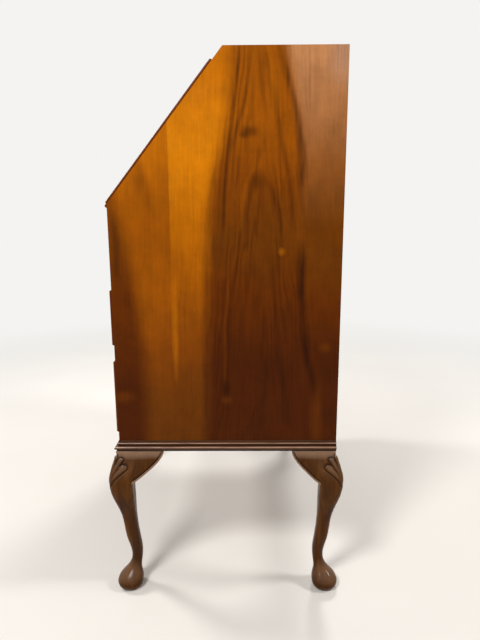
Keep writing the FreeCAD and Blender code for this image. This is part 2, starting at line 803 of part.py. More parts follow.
def escutcheon():
    """Oval keyhole plate on the fall's face."""
    half = ESCUTCHEON_WIDTH / 2
    tall = ESCUTCHEON_HEIGHT / 2
    flat = tall - half
    steps = (
        (-half, KEY_U - flat),
        (-half, KEY_U + flat),
        ((0, KEY_U + tall), (half, KEY_U + flat)),
        (half, KEY_U - flat),
        ((0, KEY_U - tall), (-half, KEY_U - flat)),
    )
    face = traced(steps, lambda x, u: Vector(x, u, FALL_THICK))
    plate = face.extrude(UP * ESCUTCHEON_THICK)
    return tilted(plate.cut(keyhole(FALL_THICK, FALL_THICK + ESCUTCHEON_THICK)))


def key():
    """Key in the lock: stem with a bit inside the case and a ring bow outside."""
    start = LOCK_WALL + SEAT_GAP
    shoulder = FALL_THICK + KEY_STEM
    stem = rod(KEY_RADIUS, shoulder - start, Vector(0, KEY_U, start), UP)
    low = BOLT_N - KEY_BIT_LENGTH / 2
    thick = KEY_BIT_THICK / 2
    bit = block(0, KEY_BIT_REACH, KEY_U - thick, KEY_U + thick, low, low + KEY_BIT_LENGTH)
    neck = Vector(0, KEY_U, shoulder - 2 * KEY_BOW_RING)
    collar = rod(KEY_RADIUS + KEY_BOW_RING / 2, KEY_BOW_RING, neck, UP)
    middle = Vector(0, KEY_U, shoulder + KEY_BOW_RADIUS - KEY_BOW_RING / 2)
    bow = Part.makeTorus(KEY_BOW_RADIUS, KEY_BOW_RING, middle, ACROSS)
    return tilted(stem.fuse([bit, collar, bow]))


def loper_body():
    """Right loper, flush with the front when pushed in."""
    low = TOP_RUN + SEAT_GAP
    high = OPEN_UNDER - LOPER_TOP_GAP
    body = block(LOPER_IN, LOPER_OUT, FRONT, BACK_INSIDE - LOPER_BACK_GAP, low, high)
    at = Vector((LOPER_IN + LOPER_OUT) / 2, FRONT, (low + high) / 2)
    knob = knob_shape(LOPER_KNOB_RADIUS, LOPER_KNOB_PROUD, at)
    return body.cut(knob_hole(at)), knob


def knob_hole(at):
    """Hole that a knob's dowel fills."""
    return rod(KNOB_DOWEL / 2 + HOLE_GAP, 2 * KNOB_DOWEL + HOLE_GAP, at, BACKWARD)


def knob_shape(radius, proud, at):
    """Small turned knob: foot, waist and domed head, with its dowel in the wood."""
    dowel = KNOB_DOWEL / 2
    foot = 0.62 * radius
    waist = 0.45 * radius
    shoulder = 0.74 * proud
    rise = proud - shoulder
    ball = (radius ** 2 + rise ** 2) / (2 * rise)
    crown = proud - ball + math.sqrt(ball ** 2 - radius ** 2 / 4)
    steps = (
        (0, -2 * KNOB_DOWEL),
        (dowel, -2 * KNOB_DOWEL),
        (dowel, 0),
        (foot, 0),
        (foot, 0.12 * proud),
        (waist, 0.25 * proud),
        (waist, 0.38 * proud),
        (0.85 * radius, 0.55 * proud),
        (radius, shoulder),
        ((radius / 2, crown), (0, proud)),
    )
    return turned(steps, at, FORWARD)


def handle_outline(z):
    """Outline of a handle's back plate about its posts' line."""
    half = HANDLE_CENTRES / 2
    lobe = 0.26 * half
    tuck = 0.58 * half
    return (
        (-half, z - PLATE_END),
        ((-half - PLATE_END, z), (-half, z + PLATE_END)),
        ((-tuck, z + PLATE_WAIST), (-lobe, z + 0.72 * PLATE_CREST)),
        ((0, z + PLATE_CREST), (lobe, z + 0.72 * PLATE_CREST)),
        ((tuck, z + PLATE_WAIST), (half, z + PLATE_END)),
        ((half + PLATE_END, z), (half, z - PLATE_END)),
        ((tuck, z - PLATE_WAIST), (lobe, z - 0.72 * PLATE_APRON)),
        ((0, z - PLATE_APRON), (-lobe, z - 0.72 * PLATE_APRON)),
        ((-tuck, z - PLATE_WAIST), (-half, z - PLATE_END)),
    )


def handle_posts(centre, face, level):
    """Places of a handle's two posts on the drawer's face."""
    half = HANDLE_CENTRES / 2
    return [Vector(centre + side * half, face, level) for side in (-1, 1)]


def handle_fittings(centre, face, level):
    """Back plate, turned posts and their nuts of one handle."""
    outline = traced(handle_outline(level), lambda x, z: Vector(centre + x, face, z))
    plate = outline.extrude(FORWARD * PLATE_THICK)
    places = handle_posts(centre, face, level)
    plate = cut_all(plate, [rod(POST_SHANK + HOLE_GAP, PLATE_THICK, at, FORWARD) for at in places])
    through = LIP_PROUD + DRAWER_FRONT
    steps = (
        (0, -through - NUT_THICK),
        (POST_SHANK, -through - NUT_THICK),
        (POST_SHANK, PLATE_THICK),
        (POST_COLLAR, PLATE_THICK),
        (POST_COLLAR, PLATE_THICK + 1.5),
        (POST_NECK, PLATE_THICK + 3),
        (POST_NECK, HANDLE_STANDOFF - math.sqrt(POST_BALL ** 2 - POST_NECK ** 2)),
        ((POST_BALL, HANDLE_STANDOFF), (0, HANDLE_STANDOFF + POST_BALL)),
    )
    solids = [plate]
    for at in places:
        eye = at + FORWARD * HANDLE_STANDOFF - ACROSS * POST_BALL
        hole = rod(BAIL_PIN + RUNNING_GAP, 2 * POST_BALL, eye, ACROSS)
        solids.append(turned(steps, at, FORWARD).cut(hole))
        seat = at + BACKWARD * through
        nut = rod(NUT_RADIUS, NUT_THICK, seat, BACKWARD)
        solids.append(nut.cut(rod(POST_SHANK + HOLE_GAP, NUT_THICK, seat, BACKWARD)))
    return solids


def bail(centre, face, level):
    """Swinging bail, hanging from its two pins in the posts."""
    y = face - HANDLE_STANDOFF
    half = HANDLE_CENTRES / 2
    start = half - POST_BALL - SEAT_GAP
    side = start - BAIL_NECK_BEND
    low = level - BAIL_DROP
    diagonal = math.sqrt(0.5)

    def point(x, z):
        return Vector(centre + x, y, z)

    neck_mid = side + BAIL_NECK_BEND * (1 - diagonal)
    corner_mid = side - BAIL_CORNER_BEND * (1 - diagonal)
    path = [
        Part.Arc(
            point(start, level),
            point(neck_mid, level - BAIL_NECK_BEND * (1 - diagonal)),
            point(side, level - BAIL_NECK_BEND),
        ),
        Part.LineSegment(point(side, level - BAIL_NECK_BEND), point(side, low + BAIL_CORNER_BEND)),
        Part.Arc(
            point(side, low + BAIL_CORNER_BEND),
            point(corner_mid, low + BAIL_CORNER_BEND * (1 - diagonal)),
            point(side - BAIL_CORNER_BEND, low),
        ),
        Part.LineSegment(point(side - BAIL_CORNER_BEND, low), point(0, low)),
    ]
    section = Part.Wire(Part.Circle(point(start, level), ACROSS, BAIL_RADIUS).toShape())
    right = Part.Wire([curve.toShape() for curve in path]).makePipeShell([section], True, False)
    pin = rod(BAIL_PIN, POST_BALL + BAIL_PIN_REACH, point(start, level), ACROSS)
    right = right.fuse(pin)
    left = right.mirror(Vector(centre, 0, 0), ACROSS)
    return joined(right, left)


def drawer(name, run, opening, half_opening, lip_half, lip_top):
    """Lipped drawer with two handles, saved piece by piece."""
    half = half_opening - SIDE_PLAY
    low = run + SEAT_GAP
    high = run + opening - HEAD_ROOM
    lip_back = FRONT - SEAT_GAP
    face = lip_back - LIP_PROUD
    rear = lip_back + DRAWER_FRONT
    end = BACK_INSIDE - DRAWER_BACK_GAP

    inner = block(-half, half, lip_back, rear, low, high)
    lip_low = run - LIP_OVERLAP
    lip = block(-lip_half, lip_half, face + FIELD_RAISE, lip_back, lip_low, lip_top)
    lip = rounded_front(lip, THUMBNAIL_ROUND, lambda point: abs(point.y - face - FIELD_RAISE) < FLAT)
    edge = lip_half - THUMBNAIL
    field = block(-edge, edge, face, lip_back, lip_low + THUMBNAIL, lip_top - THUMBNAIL)
    front = joined(inner, lip, field)

    floor = low + DRAWER_BOTTOM_RAISE
    wall = half - DRAWER_SIDE
    groove = wall + DRAWER_GROOVE
    bottom = block(-groove, groove, rear - DRAWER_GROOVE, end, floor, floor + DRAWER_BOTTOM)
    side_high = high - DRAWER_SIDE_DROP
    right = block(wall, half, rear, end, low, side_high).cut(bottom)
    back = block(-wall, wall, end - DRAWER_SIDE, end, floor + DRAWER_BOTTOM, side_high)

    level = (lip_low + lip_top) / 2 + HANDLE_RAISE
    centre = HALF_WIDTH - HANDLE_INSET
    fittings = []
    holes = [bottom]
    for label, side in (("right", 1), ("left", -1)):
        places = handle_posts(side * centre, face, level)
        holes.extend(rod(POST_SHANK + HOLE_GAP, rear - face, at, BACKWARD) for at in places)
        fittings.extend(handle_fittings(side * centre, face, level))
        save(name + "_bail_" + label, bail(side * centre, face, level))
    save(name + "_front", cut_all(front, holes))
    save(name + "_box", right, mirrored_x(right), back, bottom)
    save(name + "_handle_plates", *fittings)


def pen_drawer():
    """Small right drawer under the gallery shelf: front, two sides, back and bottom, then its knob."""
    left = SUPPORT_X + PEN_SUPPORT / 2 + SIDE_PLAY / 2
    right = HALF_INSIDE - SIDE_PLAY / 2
    low = WRITING_TOP + SEAT_GAP
    high = SHELF_UNDER - HEAD_ROOM / 2
    rear = GALLERY_FRONT + PEN_FRONT
    end = BACK_INSIDE - PEN_BACK_GAP
    floor = low + PEN_BOTTOM_RAISE
    at = Vector((left + right) / 2, GALLERY_FRONT, (low + high) / 2)

    groove_left = left + PEN_SIDE - PEN_GROOVE
    groove_right = right - PEN_SIDE + PEN_GROOVE
    bottom = block(groove_left, groove_right, rear - PEN_GROOVE, end, floor, floor + PEN_BOTTOM)
    front = block(left, right, GALLERY_FRONT, rear, low, high)
    front = cut_all(front, [bottom, knob_hole(at)])
    near_side = block(left, left + PEN_SIDE, rear, end, low, high - PEN_SIDE).cut(bottom)
    far_side = block(right - PEN_SIDE, right, rear, end, low, high - PEN_SIDE).cut(bottom)
    back_low = floor + PEN_BOTTOM
    back = block(left + PEN_SIDE, right - PEN_SIDE, end - PEN_SIDE, end, back_low, high - PEN_SIDE)
    return (front, near_side, far_side, back, bottom), knob_shape(PEN_KNOB_RADIUS, PEN_KNOB_PROUD, at)


def gallery_dividers():
    """Uprights between the pigeonholes, and the two supports between the small drawers."""
    fore = GALLERY_FRONT + VALANCE_THICK
    bay = 2 * HALF_INSIDE / PIGEONHOLES
    half = DIVIDER_THICK / 2
    solids = []
    for index in range(1, PIGEONHOLES):
        x = -HALF_INSIDE + index * bay
        solids.append(block(x - half, x + half, fore, BACK_INSIDE, SHELF_TOP, CEILING))
    half = PEN_SUPPORT / 2
    for x in (-SUPPORT_X, SUPPORT_X):
        solids.append(block(x - half, x + half, GALLERY_FRONT, BACK_INSIDE, WRITING_TOP, SHELF_UNDER))
    return solids


def gallery_valance():
    """Scalloped strip over the pigeonholes."""
    low = CEILING - VALANCE_HEIGHT
    strip = block(-HALF_INSIDE, HALF_INSIDE, GALLERY_FRONT, GALLERY_FRONT + VALANCE_THICK, low, CEILING)
    bay = 2 * HALF_INSIDE / PIGEONHOLES
    chord = bay / 2 - VALANCE_MARGIN
    radius = (chord ** 2 + VALANCE_SCALLOP ** 2) / (2 * VALANCE_SCALLOP)
    scallops = []
    for index in range(PIGEONHOLES):
        x = -HALF_INSIDE + (index + 0.5) * bay
        middle = Vector(x, GALLERY_FRONT, low + VALANCE_SCALLOP - radius)
        scallops.append(rod(radius, VALANCE_THICK, middle, BACKWARD))
    return cut_all(strip, scallops)


def save_case():
    """Fixed boards, rails and base frame."""
    right_side = side_panel()
    save("side_panel_right", right_side)
    save("side_panel_left", mirrored_x(right_side))
    save("top_board", top_board())
    save("lock_rail", lock_rail())
    save("strike_plate", strike_plate())
    save("writing_board", writing_board())
    save("bottom_board", block(-HALF_INSIDE, HALF_INSIDE, FRONT, BACK_INSIDE, BASE_TOP, BOTTOM_RUN))
    reach = HALF_INSIDE + BACK_REBATE
    panel = block(-reach, reach, BACK_INSIDE, BACK, BASE_TOP, CEILING)
    save("back_panel", cut_all(panel, back_screw_holes()))
    save("upper_rail", case_rail(UPPER_RAIL))
    save("lower_rail", case_rail(LOWER_RAIL))
    guide = block(GUIDE_IN, GUIDE_OUT, FRONT, BACK_INSIDE, TOP_RUN, BOARD_UNDER)
    save("loper_guides", guide, mirrored_x(guide))
    save("drawer_runners", *runners())


def save_stand():
    """Base frame, legs, ears and the screws that hold them."""
    holes = leg_screw_holes()
    right_rail = cut_all(base_side(), holes)
    save("waist_moulding_front", cut_all(base_front(), holes))
    save("waist_moulding_right", right_rail)
    save("waist_moulding_left", mirrored_x(right_rail))
    save("base_back_rail", base_back())
    plain_leg = whole_leg()
    leg = cut_all(plain_leg, holes)
    save("leg_front_left", leg)
    save("leg_front_right", mirrored_x(leg))
    save("leg_back_left", mirrored_y(leg))
    save("leg_back_right", mirrored_y(mirrored_x(leg)))
    save("knee_ears", *knee_ears(plain_leg))
    save("case_screws", *leg_screws(), *back_screws())


def save_fall():
    """Fall with its hinges, leather, lock and key."""
    save("fall_board", fall_board())
    save("fall_leather", tilted(leather()))
    sides = (-HINGE_X, HINGE_X)
    save("hinge_leaves_case", *[on_board(hinge_leaf(x, 0)) for x in sides])
    save("hinge_leaves_fall", *[tilted(hinge_leaf(x, 1)) for x in sides])
    save("hinge_pins", *[tilted(pin) for pin in hinge_barrels(PIN_RADIUS, HINGE_LENGTH)])
    save("hinge_screws_case", *[on_board(shape) for shape in hinge_screws()])
    save("hinge_screws_fall", *[tilted(shape) for shape in hinge_screws()])
    save("lock_case", lock_case())
    save("lock_bolt", lock_bolt())
    save("escutcheon", escutcheon())
    save("key", key())


def save_lopers():
    """Lopers and their knobs."""
    body, knob = loper_body()
    save("loper_right", body)
    save("loper_left", mirrored_x(body))
    save("loper_knob_right", knob)
    save("loper_knob_left", mirrored_x(knob))


def save_drawers():
    """Three graduated drawers."""
    wide = HALF_WIDTH - LIP_SETBACK
    bottom_lip = BOTTOM_RUN + BOTTOM_OPENING + LIP_OVERLAP
    middle_lip = MIDDLE_RUN + MIDDLE_OPENING + LIP_OVERLAP
    drawer("bottom_drawer", BOTTOM_RUN, BOTTOM_OPENING, HALF_INSIDE, wide, bottom_lip)
    drawer("middle_drawer", MIDDLE_RUN, MIDDLE_OPENING, HALF_INSIDE, wide, middle_lip)
    drawer("top_drawer", TOP_RUN, TOP_OPENING, GUIDE_IN, GUIDE_IN + LIP_OVERLAP, OPEN_UNDER - HEAD_ROOM)


def save_gallery():
    """Pigeonholes and small drawers behind the fall."""
    shelf = block(-HALF_INSIDE, HALF_INSIDE, GALLERY_FRONT, BACK_INSIDE, SHELF_UNDER, SHELF_TOP)
    save("gallery_shelf", shelf)
    save("gallery_dividers", *gallery_dividers())
    save("gallery_valance", gallery_valance())
    pieces, knob = pen_drawer()
    save("pen_drawer_right", *pieces)
    save("pen_drawer_left", *[mirrored_x(piece) for piece in pieces])
    save("pen_drawer_knob_right", knob)
    save("pen_drawer_knob_left", mirrored_x(knob))


def main():
    os.makedirs("parts", exist_ok=True)
    save_case()
    save_stand()
    save_fall()
    save_lopers()
    save_drawers()
    save_gallery()


main()
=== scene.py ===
"""Looks of a fall-front bureau: figured walnut, carved legs, oak linings, brass, leather, and its stage."""

import math

import bmesh
import bpy
from bpy.props import FloatProperty, FloatVectorProperty, IntProperty, PointerProperty
from mathutils import Matrix, Vector


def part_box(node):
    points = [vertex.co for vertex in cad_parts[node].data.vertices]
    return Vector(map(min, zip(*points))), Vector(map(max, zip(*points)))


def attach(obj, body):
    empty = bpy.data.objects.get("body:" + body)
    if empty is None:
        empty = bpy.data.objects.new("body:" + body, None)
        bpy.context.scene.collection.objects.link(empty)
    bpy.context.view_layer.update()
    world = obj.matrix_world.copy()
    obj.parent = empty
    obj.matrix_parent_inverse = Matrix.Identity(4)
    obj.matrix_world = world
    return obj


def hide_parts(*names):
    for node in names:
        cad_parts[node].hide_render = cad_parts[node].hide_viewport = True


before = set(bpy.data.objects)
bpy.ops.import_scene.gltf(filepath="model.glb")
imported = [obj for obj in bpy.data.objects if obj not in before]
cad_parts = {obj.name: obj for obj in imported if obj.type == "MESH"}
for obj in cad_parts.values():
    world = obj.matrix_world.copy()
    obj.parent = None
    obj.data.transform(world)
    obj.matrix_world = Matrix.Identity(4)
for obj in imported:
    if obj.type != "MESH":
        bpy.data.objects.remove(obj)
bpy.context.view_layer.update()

bl_info = {
    "name": "Fall-front bureau",
    "version": (1, 0, 0),
    "blender": (4, 5, 0),
    "location": "View3D > Sidebar > Bureau",
    "description": "Finishes the pieces of a walnut fall-front bureau and sets its stage",
    "category": "Object",
}

MM = 0.001
# Height of the photo in pixels, and of the camera's sensor in millimetres
PHOTO_HEIGHT = 640
SENSOR_HEIGHT = 36.0

# Turns that bring an axis of the object onto Z
TURN_X = (0.0, -math.pi / 2, 0.0)
TURN_Y = (math.pi / 2, 0.0, 0.0)
TURN_Z = (0.0, 0.0, 0.0)

DRAWERS = ("bottom_drawer", "middle_drawer", "top_drawer")
LEG_NODES = ("leg_front_left", "leg_front_right", "leg_back_left", "leg_back_right")
SIDE_NODES = ("side_panel_right", "side_panel_left")
# Solid woods: the material, the turn that brings its grain onto Z, and the packed pieces that take it
WALNUT = (
    (
        "polished_walnut_across",
        TURN_X,
        (
            "lock_rail", "writing_board", "upper_rail", "lower_rail", "gallery_shelf", "gallery_valance",
            "pen_drawer_right", "pen_drawer_left", "top_board",
        ),
    ),
    ("polished_walnut_deep", TURN_Y, ("loper_right", "loper_left")),
    ("polished_walnut_upright", TURN_Z, ("gallery_dividers",)),
)
MOULDINGS = (
    ("moulded_walnut_across", TURN_X, ("waist_moulding_front",)),
    ("moulded_walnut_deep", TURN_Y, ("waist_moulding_right", "waist_moulding_left")),
)
OAK = (
    ("oak_across", TURN_X, ("base_back_rail",)),
    ("oak_deep", TURN_Y, ("drawer_runners", *(name + "_box" for name in DRAWERS))),
    ("oak_upright", TURN_Z, ("back_panel",)),
)
# Oak whose front edge shows, so it is lipped with walnut this deep in millimetres
LIPPED_OAK = (
    ("lipped_oak_across", TURN_X, "bottom_board"),
    ("lipped_oak_deep", TURN_Y, "loper_guides"),
)
LIP = 8.0
BRASS_NODES = (
    "strike_plate", "hinge_leaves_case", "hinge_leaves_fall", "hinge_pins", "hinge_screws_case",
    "hinge_screws_fall", "lock_case", "escutcheon", "loper_knob_right", "loper_knob_left",
    "pen_drawer_knob_right", "pen_drawer_knob_left",
) + tuple(
    name + fitting
    for name in DRAWERS
    for fitting in ("_handle_plates", "_bail_right", "_bail_left")
)
STEEL_NODES = ("case_screws", "lock_bolt", "key")


def linear(code):
    """Linear colour of an sRGB hex value."""
    parts = [int(code[at:at + 2], 16) / 255 for at in (0, 2, 4)]
    bent = [part / 12.92 if part <= 0.04045 else ((part + 0.055) / 1.055) ** 2.4 for part in parts]
    return (*bent, 1.0)


def tone(name, description, code):
    """Colour that a user may change."""
    return FloatVectorProperty(
        name=name, description=description, subtype="COLOR", size=4, min=0, max=1, default=linear(code)
    )


def length(name, description, millimetres):
    """Size that a user may change."""
    return FloatProperty(
        name=name, description=description, subtype="DISTANCE", unit="LENGTH", default=millimetres * MM
    )


def power(name, description, watts):
    """Power of a lamp that a user may change."""
    return FloatProperty(name=name, description=description, unit="POWER", default=watts, min=0)


def angle(name, description, degrees):
    """Angle that a user may change."""
    return FloatProperty(name=name, description=description, subtype="ANGLE", default=math.radians(degrees))


class WoodTones(bpy.types.PropertyGroup):
    """Colours of the woods"""

    gold: tone("Gold", "Lightest band of the veneer", "d07a06")
    honey: tone("Honey", "Light brown of the veneer", "b26202")
    amber: tone("Amber", "Middle brown of the veneer", "964e02")
    tan: tone("Tan", "Dull brown of the veneer", "7e3e02")
    olive: tone("Olive", "Dull brown low on the sides", "683402")
    chestnut: tone("Chestnut", "Dark brown of the veneer", "6c3602")
    russet: tone("Russet", "Red brown of the veneer", "602a00")
    mahogany: tone("Mahogany", "Dark red brown of the veneer", "4a1d00")
    umber: tone("Umber", "Dark streaks of the veneer", "2a0e00")
    rosy: tone("Rosy", "Pinkish brown towards the back edge", "8a5020")
    # Painted reflection: a pale pinkish brown standing for a reflection at the top of the back edge
    painted_reflection: tone("Haze", "Pale pinkish brown at the top of the back edge", "b67c4e")
    solid_light: tone("Solid light", "Light streaks of the solid walnut", "5f3604")
    solid_dark: tone("Solid dark", "Dark streaks of the solid walnut", "341902")
    solid_mid: tone("Solid middle", "Middle brown of the solid walnut", "482603")
    # Painted sheen: a pale painted highlight on crests, the ears' bead and faces that look up
    painted_sheen: tone("Bloom", "Pale bloom of old wax on crests and faces that look up", "a08068")
    wax: tone("Wax", "Dark polish in the hollows of the carving", "140a03")
    # Worn also serves as painted highlight: pale on the mouldings' beads where they look up, and a painted
    # reflection at the top back corner of the sides
    worn: tone("Worn", "Rubbed crests of the mouldings", "ac8670")
    oak_light: tone("Oak light", "Light streaks of the oak linings", "9a7444")
    oak_dark: tone("Oak dark", "Dark streaks of the oak linings", "7c592f")


class FittingTones(bpy.types.PropertyGroup):
    """Colours of the brass, steel and leather"""

    brass: tone("Brass", "Rubbed brass", "c79a4b")
    tarnish: tone("Tarnish", "Brown skin of old brass", "5d4320")
    steel: tone("Steel", "Dull steel", "8c8983")
    rust: tone("Rust", "Brown skin of old steel", "4b3a2c")
    leather: tone("Leather", "Writing leather", "39401f")
    leather_worn: tone("Worn leather", "Rubbed writing leather", "4f5330")
    gilt: tone("Gilt", "Tooled line round the leather", "b58d3f")


class CarvingSizes(bpy.types.PropertyGroup):
    """Sizes of the carving on the legs"""

    voxel: length("Voxel", "Grid on which the legs are carved", 1.0)
    depth: length("Depth", "Depth of the hollows between the lobes", 2.0)
    rise: length("Rise", "How far the lobes stand out", 2.2)
    fade: length("Fade", "Width over which the hollows run out", 6.0)
    tip_level: length("Tip level", "Height of the point where the lobes meet", 233.0)
    lobe_tip: length("Lobe tip", "Half width of a lobe at its point", 1.4)
    ear_voxel: length("Ear voxel", "Grid on which the ears are carved", 0.85)
    bead: length("Bead", "Width of the bead along the ears' lower edge", 5.0)
    quirk: length("Quirk", "Depth of the groove beside the bead", 2.0)
    overlap: length("Overlap", "How far the ears run into their leg", 3.0)
    quirk_half: length("Quirk half width", "Half width of the groove beside the bead", 2.2)
    # Painted sheen: the knees and ears are painted pale this far below the moulding, standing for a
    # highlight
    sheen: length("Sheen", "How far below the moulding the knees and ears are rubbed pale", 26.0)
    smoothing: IntProperty(
        name="Smoothing", description="Passes that smooth the grid's steps", default=3, min=0
    )


class StageSettings(bpy.types.PropertyGroup):
    """Floor, lamps and camera"""

    floor: tone("Floor", "Plain pale floor", "dcd7d0")
    backdrop: tone("Backdrop", "Pale background all round", "f4f3f1")
    sky: FloatProperty(
        name="Sky", description="Strength of the even light from all round", default=0.3, min=0
    )
    key: power("Key lamp", "Power of the main lamp", 48.0)
    fill: power("Fill lamp", "Power of each weaker lamp", 40.0)
    focal: FloatProperty(
        name="Focal length", description="Focal length in photo pixels", default=482.9, min=1
    )
    pitch: angle("Pitch", "Tilt down", 10.78)
    yaw: angle("Yaw", "Turn to the side", 0.45)
    roll: angle("Roll", "Lean", -0.281)
    eye: FloatVectorProperty(
        name="Eye", description="Place of the camera", subtype="TRANSLATION", default=(1.226, 0.0354, 0.722)
    )


# Setting of a range that eases in and out
SMOOTH = {"interpolation_type": "SMOOTHSTEP"}
# Points that a new ramp or curve already has
READY_POINTS = 2


def add(tree, kind, *values, named=None, stops=None, points=None, **settings):
    """One shader node with its settings, then values or links for its sockets in order or by name."""
    node = tree.nodes.new("ShaderNode" + kind)
    for name, setting in settings.items():
        setattr(node, name, setting)
    pairs = list(zip([socket for socket in node.inputs if socket.enabled], values))
    pairs.extend((node.inputs[name], value) for name, value in (named or {}).items())
    for socket, value in pairs:
        if isinstance(value, bpy.types.Node):
            value = next(output for output in value.outputs if output.enabled)
        if isinstance(value, bpy.types.NodeSocket):
            tree.links.new(value, socket)
        elif value is not None:
            socket.default_value = value
    for index, (position, colour) in enumerate(stops or ()):
        elements = node.color_ramp.elements
        stop = elements[index] if index < READY_POINTS else elements.new(position)
        stop.position = position
        stop.color = colour
    for index, place in enumerate(points or ()):
        curve = node.mapping.curves[0]
        if index < READY_POINTS:
            curve.points[index].location = place
        else:
            curve.points.new(*place)
        node.mapping.update()
    return node


def new_material(name):
    """Empty material, its nodes, and places on the piece that wears it."""
    material = bpy.data.materials.new(name)
    material.use_nodes = True
    tree = material.node_tree
    tree.nodes.clear()
    return material, tree, add(tree, "TexCoord").outputs["Object"]


def grained_material(name, turn):
    """Empty material, its nodes, and places turned so that Z runs with the grain."""
    material, tree, place = new_material(name)
    return material, tree, add(tree, "Mapping", named={"Vector": place, "Rotation": turn})


def dress(nodes, material):
    """Gives packed pieces a material."""
    for name in nodes:
        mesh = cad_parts[name].data
        mesh.materials.clear()
        mesh.materials.append(material)


# Streaks in the woods: width and length in millimetres.
# Walnut's vessels are 0.2 mm wide, too fine to show, so its grain is drawn 1 to 5 mm wide
FINE_GRAIN = (1.5, 90)
BROAD_GRAIN = (5, 260)
PORES = (0.9, 14)
SIDE_SWAY = (45, 200)
FRONT_SWAY = (70, 330)
RING_DRIFT = (28, 260)
RING_PATCHES = (22, 160)
LINE_BREAKS = (8, 70)
CLOUDS = (38, 60)
RIPPLE = (34, 9)
BOARD_BANDS = (16, 420)
MOULDING_BANDS = (10, 300)
RUBBED_PATCHES = (5, 60)
LEG_BANDS = (14, 320)
OAK_BANDS = (14, 380)
# How much of the grain is fine, how far it darkens and lightens the wood, and how dark the pores are
FINE_SHARE = 0.6
GRAIN_DARK = 0.42
GRAIN_LIGHT = 0.20
PORE_DARK = 0.35
# Patches to a metre: dulled polish, tarnish and its specks, rust, worn leather and mottled paint
DULLED_POLISH = 14.0
TARNISH = 90.0
TARNISH_SPECKS = 700.0
RUST = 160.0
WORN_LEATHER = 16.0
MOTTLED_PAINT = 3.0


def streaks(tree, place, size, detail):
    """Noise drawn out along Z into streaks of about that width and length."""
    across, along = (1 / (part * MM) for part in size)
    squeezed = add(tree, "Mapping", named={"Vector": place, "Scale": (across, across, along)})
    noise = {"Vector": squeezed, "Scale": 1.0, "Detail": detail, "Roughness": 0.6}
    return add(tree, "TexNoise", named=noise)


def shaded(tree, colour, shade):
    """Colour made darker or lighter by a shade."""
    grey = add(tree, "CombineColor", shade, shade, shade)
    return add(tree, "Mix", 1.0, colour, grey, data_type="RGBA", blend_type="MULTIPLY")


def grain_shade(tree, place, colour, strength=1.0):
    """Colour with the fine grain of walnut laid over it, and the height of that grain."""
    fine = streaks(tree, place, FINE_GRAIN, 4.0)
    broad = streaks(tree, place, BROAD_GRAIN, 2.0)
    both = add(tree, "Math", fine, FINE_SHARE, operation="MULTIPLY")
    both = add(tree, "Math", broad, 1 - FINE_SHARE, both, operation="MULTIPLY_ADD")
    low = 1 - GRAIN_DARK * strength
    high = 1 + GRAIN_LIGHT * strength
    shade = add(tree, "MapRange", both, 0.30, 0.70, low, high)
    pores = streaks(tree, place, PORES, 1.0)
    dots = add(tree, "MapRange", pores, 0.62, 0.72, 1.0, 1 - PORE_DARK * strength)
    shade = add(tree, "Math", shade, dots, operation="MULTIPLY")
    return shaded(tree, colour, shade), shade


def surfaced(material, looks, height, strength, depth):
    """Ends a material with its shader, where a height shows as a bump that deep in millimetres."""
    tree = material.node_tree
    bump = add(tree, "Bump", named={"Strength": strength, "Distance": depth * MM, "Height": height})
    add(tree, "OutputMaterial", add(tree, "BsdfPrincipled", named={**looks, "Normal": bump}))
    return material


def polished(material, colour, height, roughness=0.32, gloss=0.06, depth=0.05):
    """French polish over wood: a soft gloss on top of the colour, with the grain just felt through it."""
    tree = material.node_tree
    place = add(tree, "TexCoord").outputs["Object"]
    dulled = add(tree, "TexNoise", named={"Vector": place, "Scale": DULLED_POLISH, "Detail": 3.0})
    rough = add(tree, "MapRange", dulled, 0.3, 0.7, roughness - 0.05, roughness + 0.07)
    looks = {"Base Color": colour, "Roughness": rough, "IOR": 1.5, "Specular IOR Level": gloss}
    return surfaced(material, looks, height, strength=0.25, depth=depth)


# Side veneer, drawn on the panel in millimetres: y towards the back, z up.
# Bands from front to back: the line along each band's front edge as (z, y), how soft that edge is,
# and the tones up the band as (z, tone)
# Up each band the tones grow darker towards the bottom: partly the veneer's own tone, partly painted shade
# for light that falls off downwards
FIGURE_BANDS = (
    (
        (),
        0.0,
        ((340, "mahogany"), (420, "mahogany"), (600, "russet"), (700, "chestnut"), (780, "tan")),
    ),
    (
        ((320, -149), (450, -150), (550, -155), (650, -165), (700, -174), (760, -190), (820, -220)),
        38.0,
        ((340, "olive"), (400, "olive"), (500, "tan"), (600, "amber"), (740, "amber"), (860, "honey")),
    ),
    (
        ((320, -95), (1020, -95)),
        1.5,
        (
            (340, "olive"), (400, "olive"), (500, "tan"), (600, "amber"), (720, "honey"), (870, "gold"),
            (1000, "honey"),
        ),
    ),
    (
        (
            (320, -36), (400, -35), (500, -34), (600, -31), (700, -28), (750, -25), (800, -20), (850, -10),
            (900, 2), (1020, 16),
        ),
        34.0,
        (
            (340, "mahogany"), (470, "mahogany"), (610, "russet"), (700, "chestnut"), (800, "tan"),
            (900, "amber"), (1010, "amber"),
        ),
    ),
    # This band's pale pinkish top, from the rosy tone up into the painted reflection tone, is a painted
    # reflection
    (
        (
            (320, 162), (430, 166), (460, 160), (500, 152), (560, 144), (620, 140), (700, 140), (800, 138),
            (850, 137), (900, 132), (950, 124), (1020, 110),
        ),
        26.0,
        (
            (340, "mahogany"), (480, "mahogany"), (580, "russet"), (660, "chestnut"), (720, "chestnut"),
            (830, "rosy"), (1000, "painted_reflection"),
        ),
    ),
)
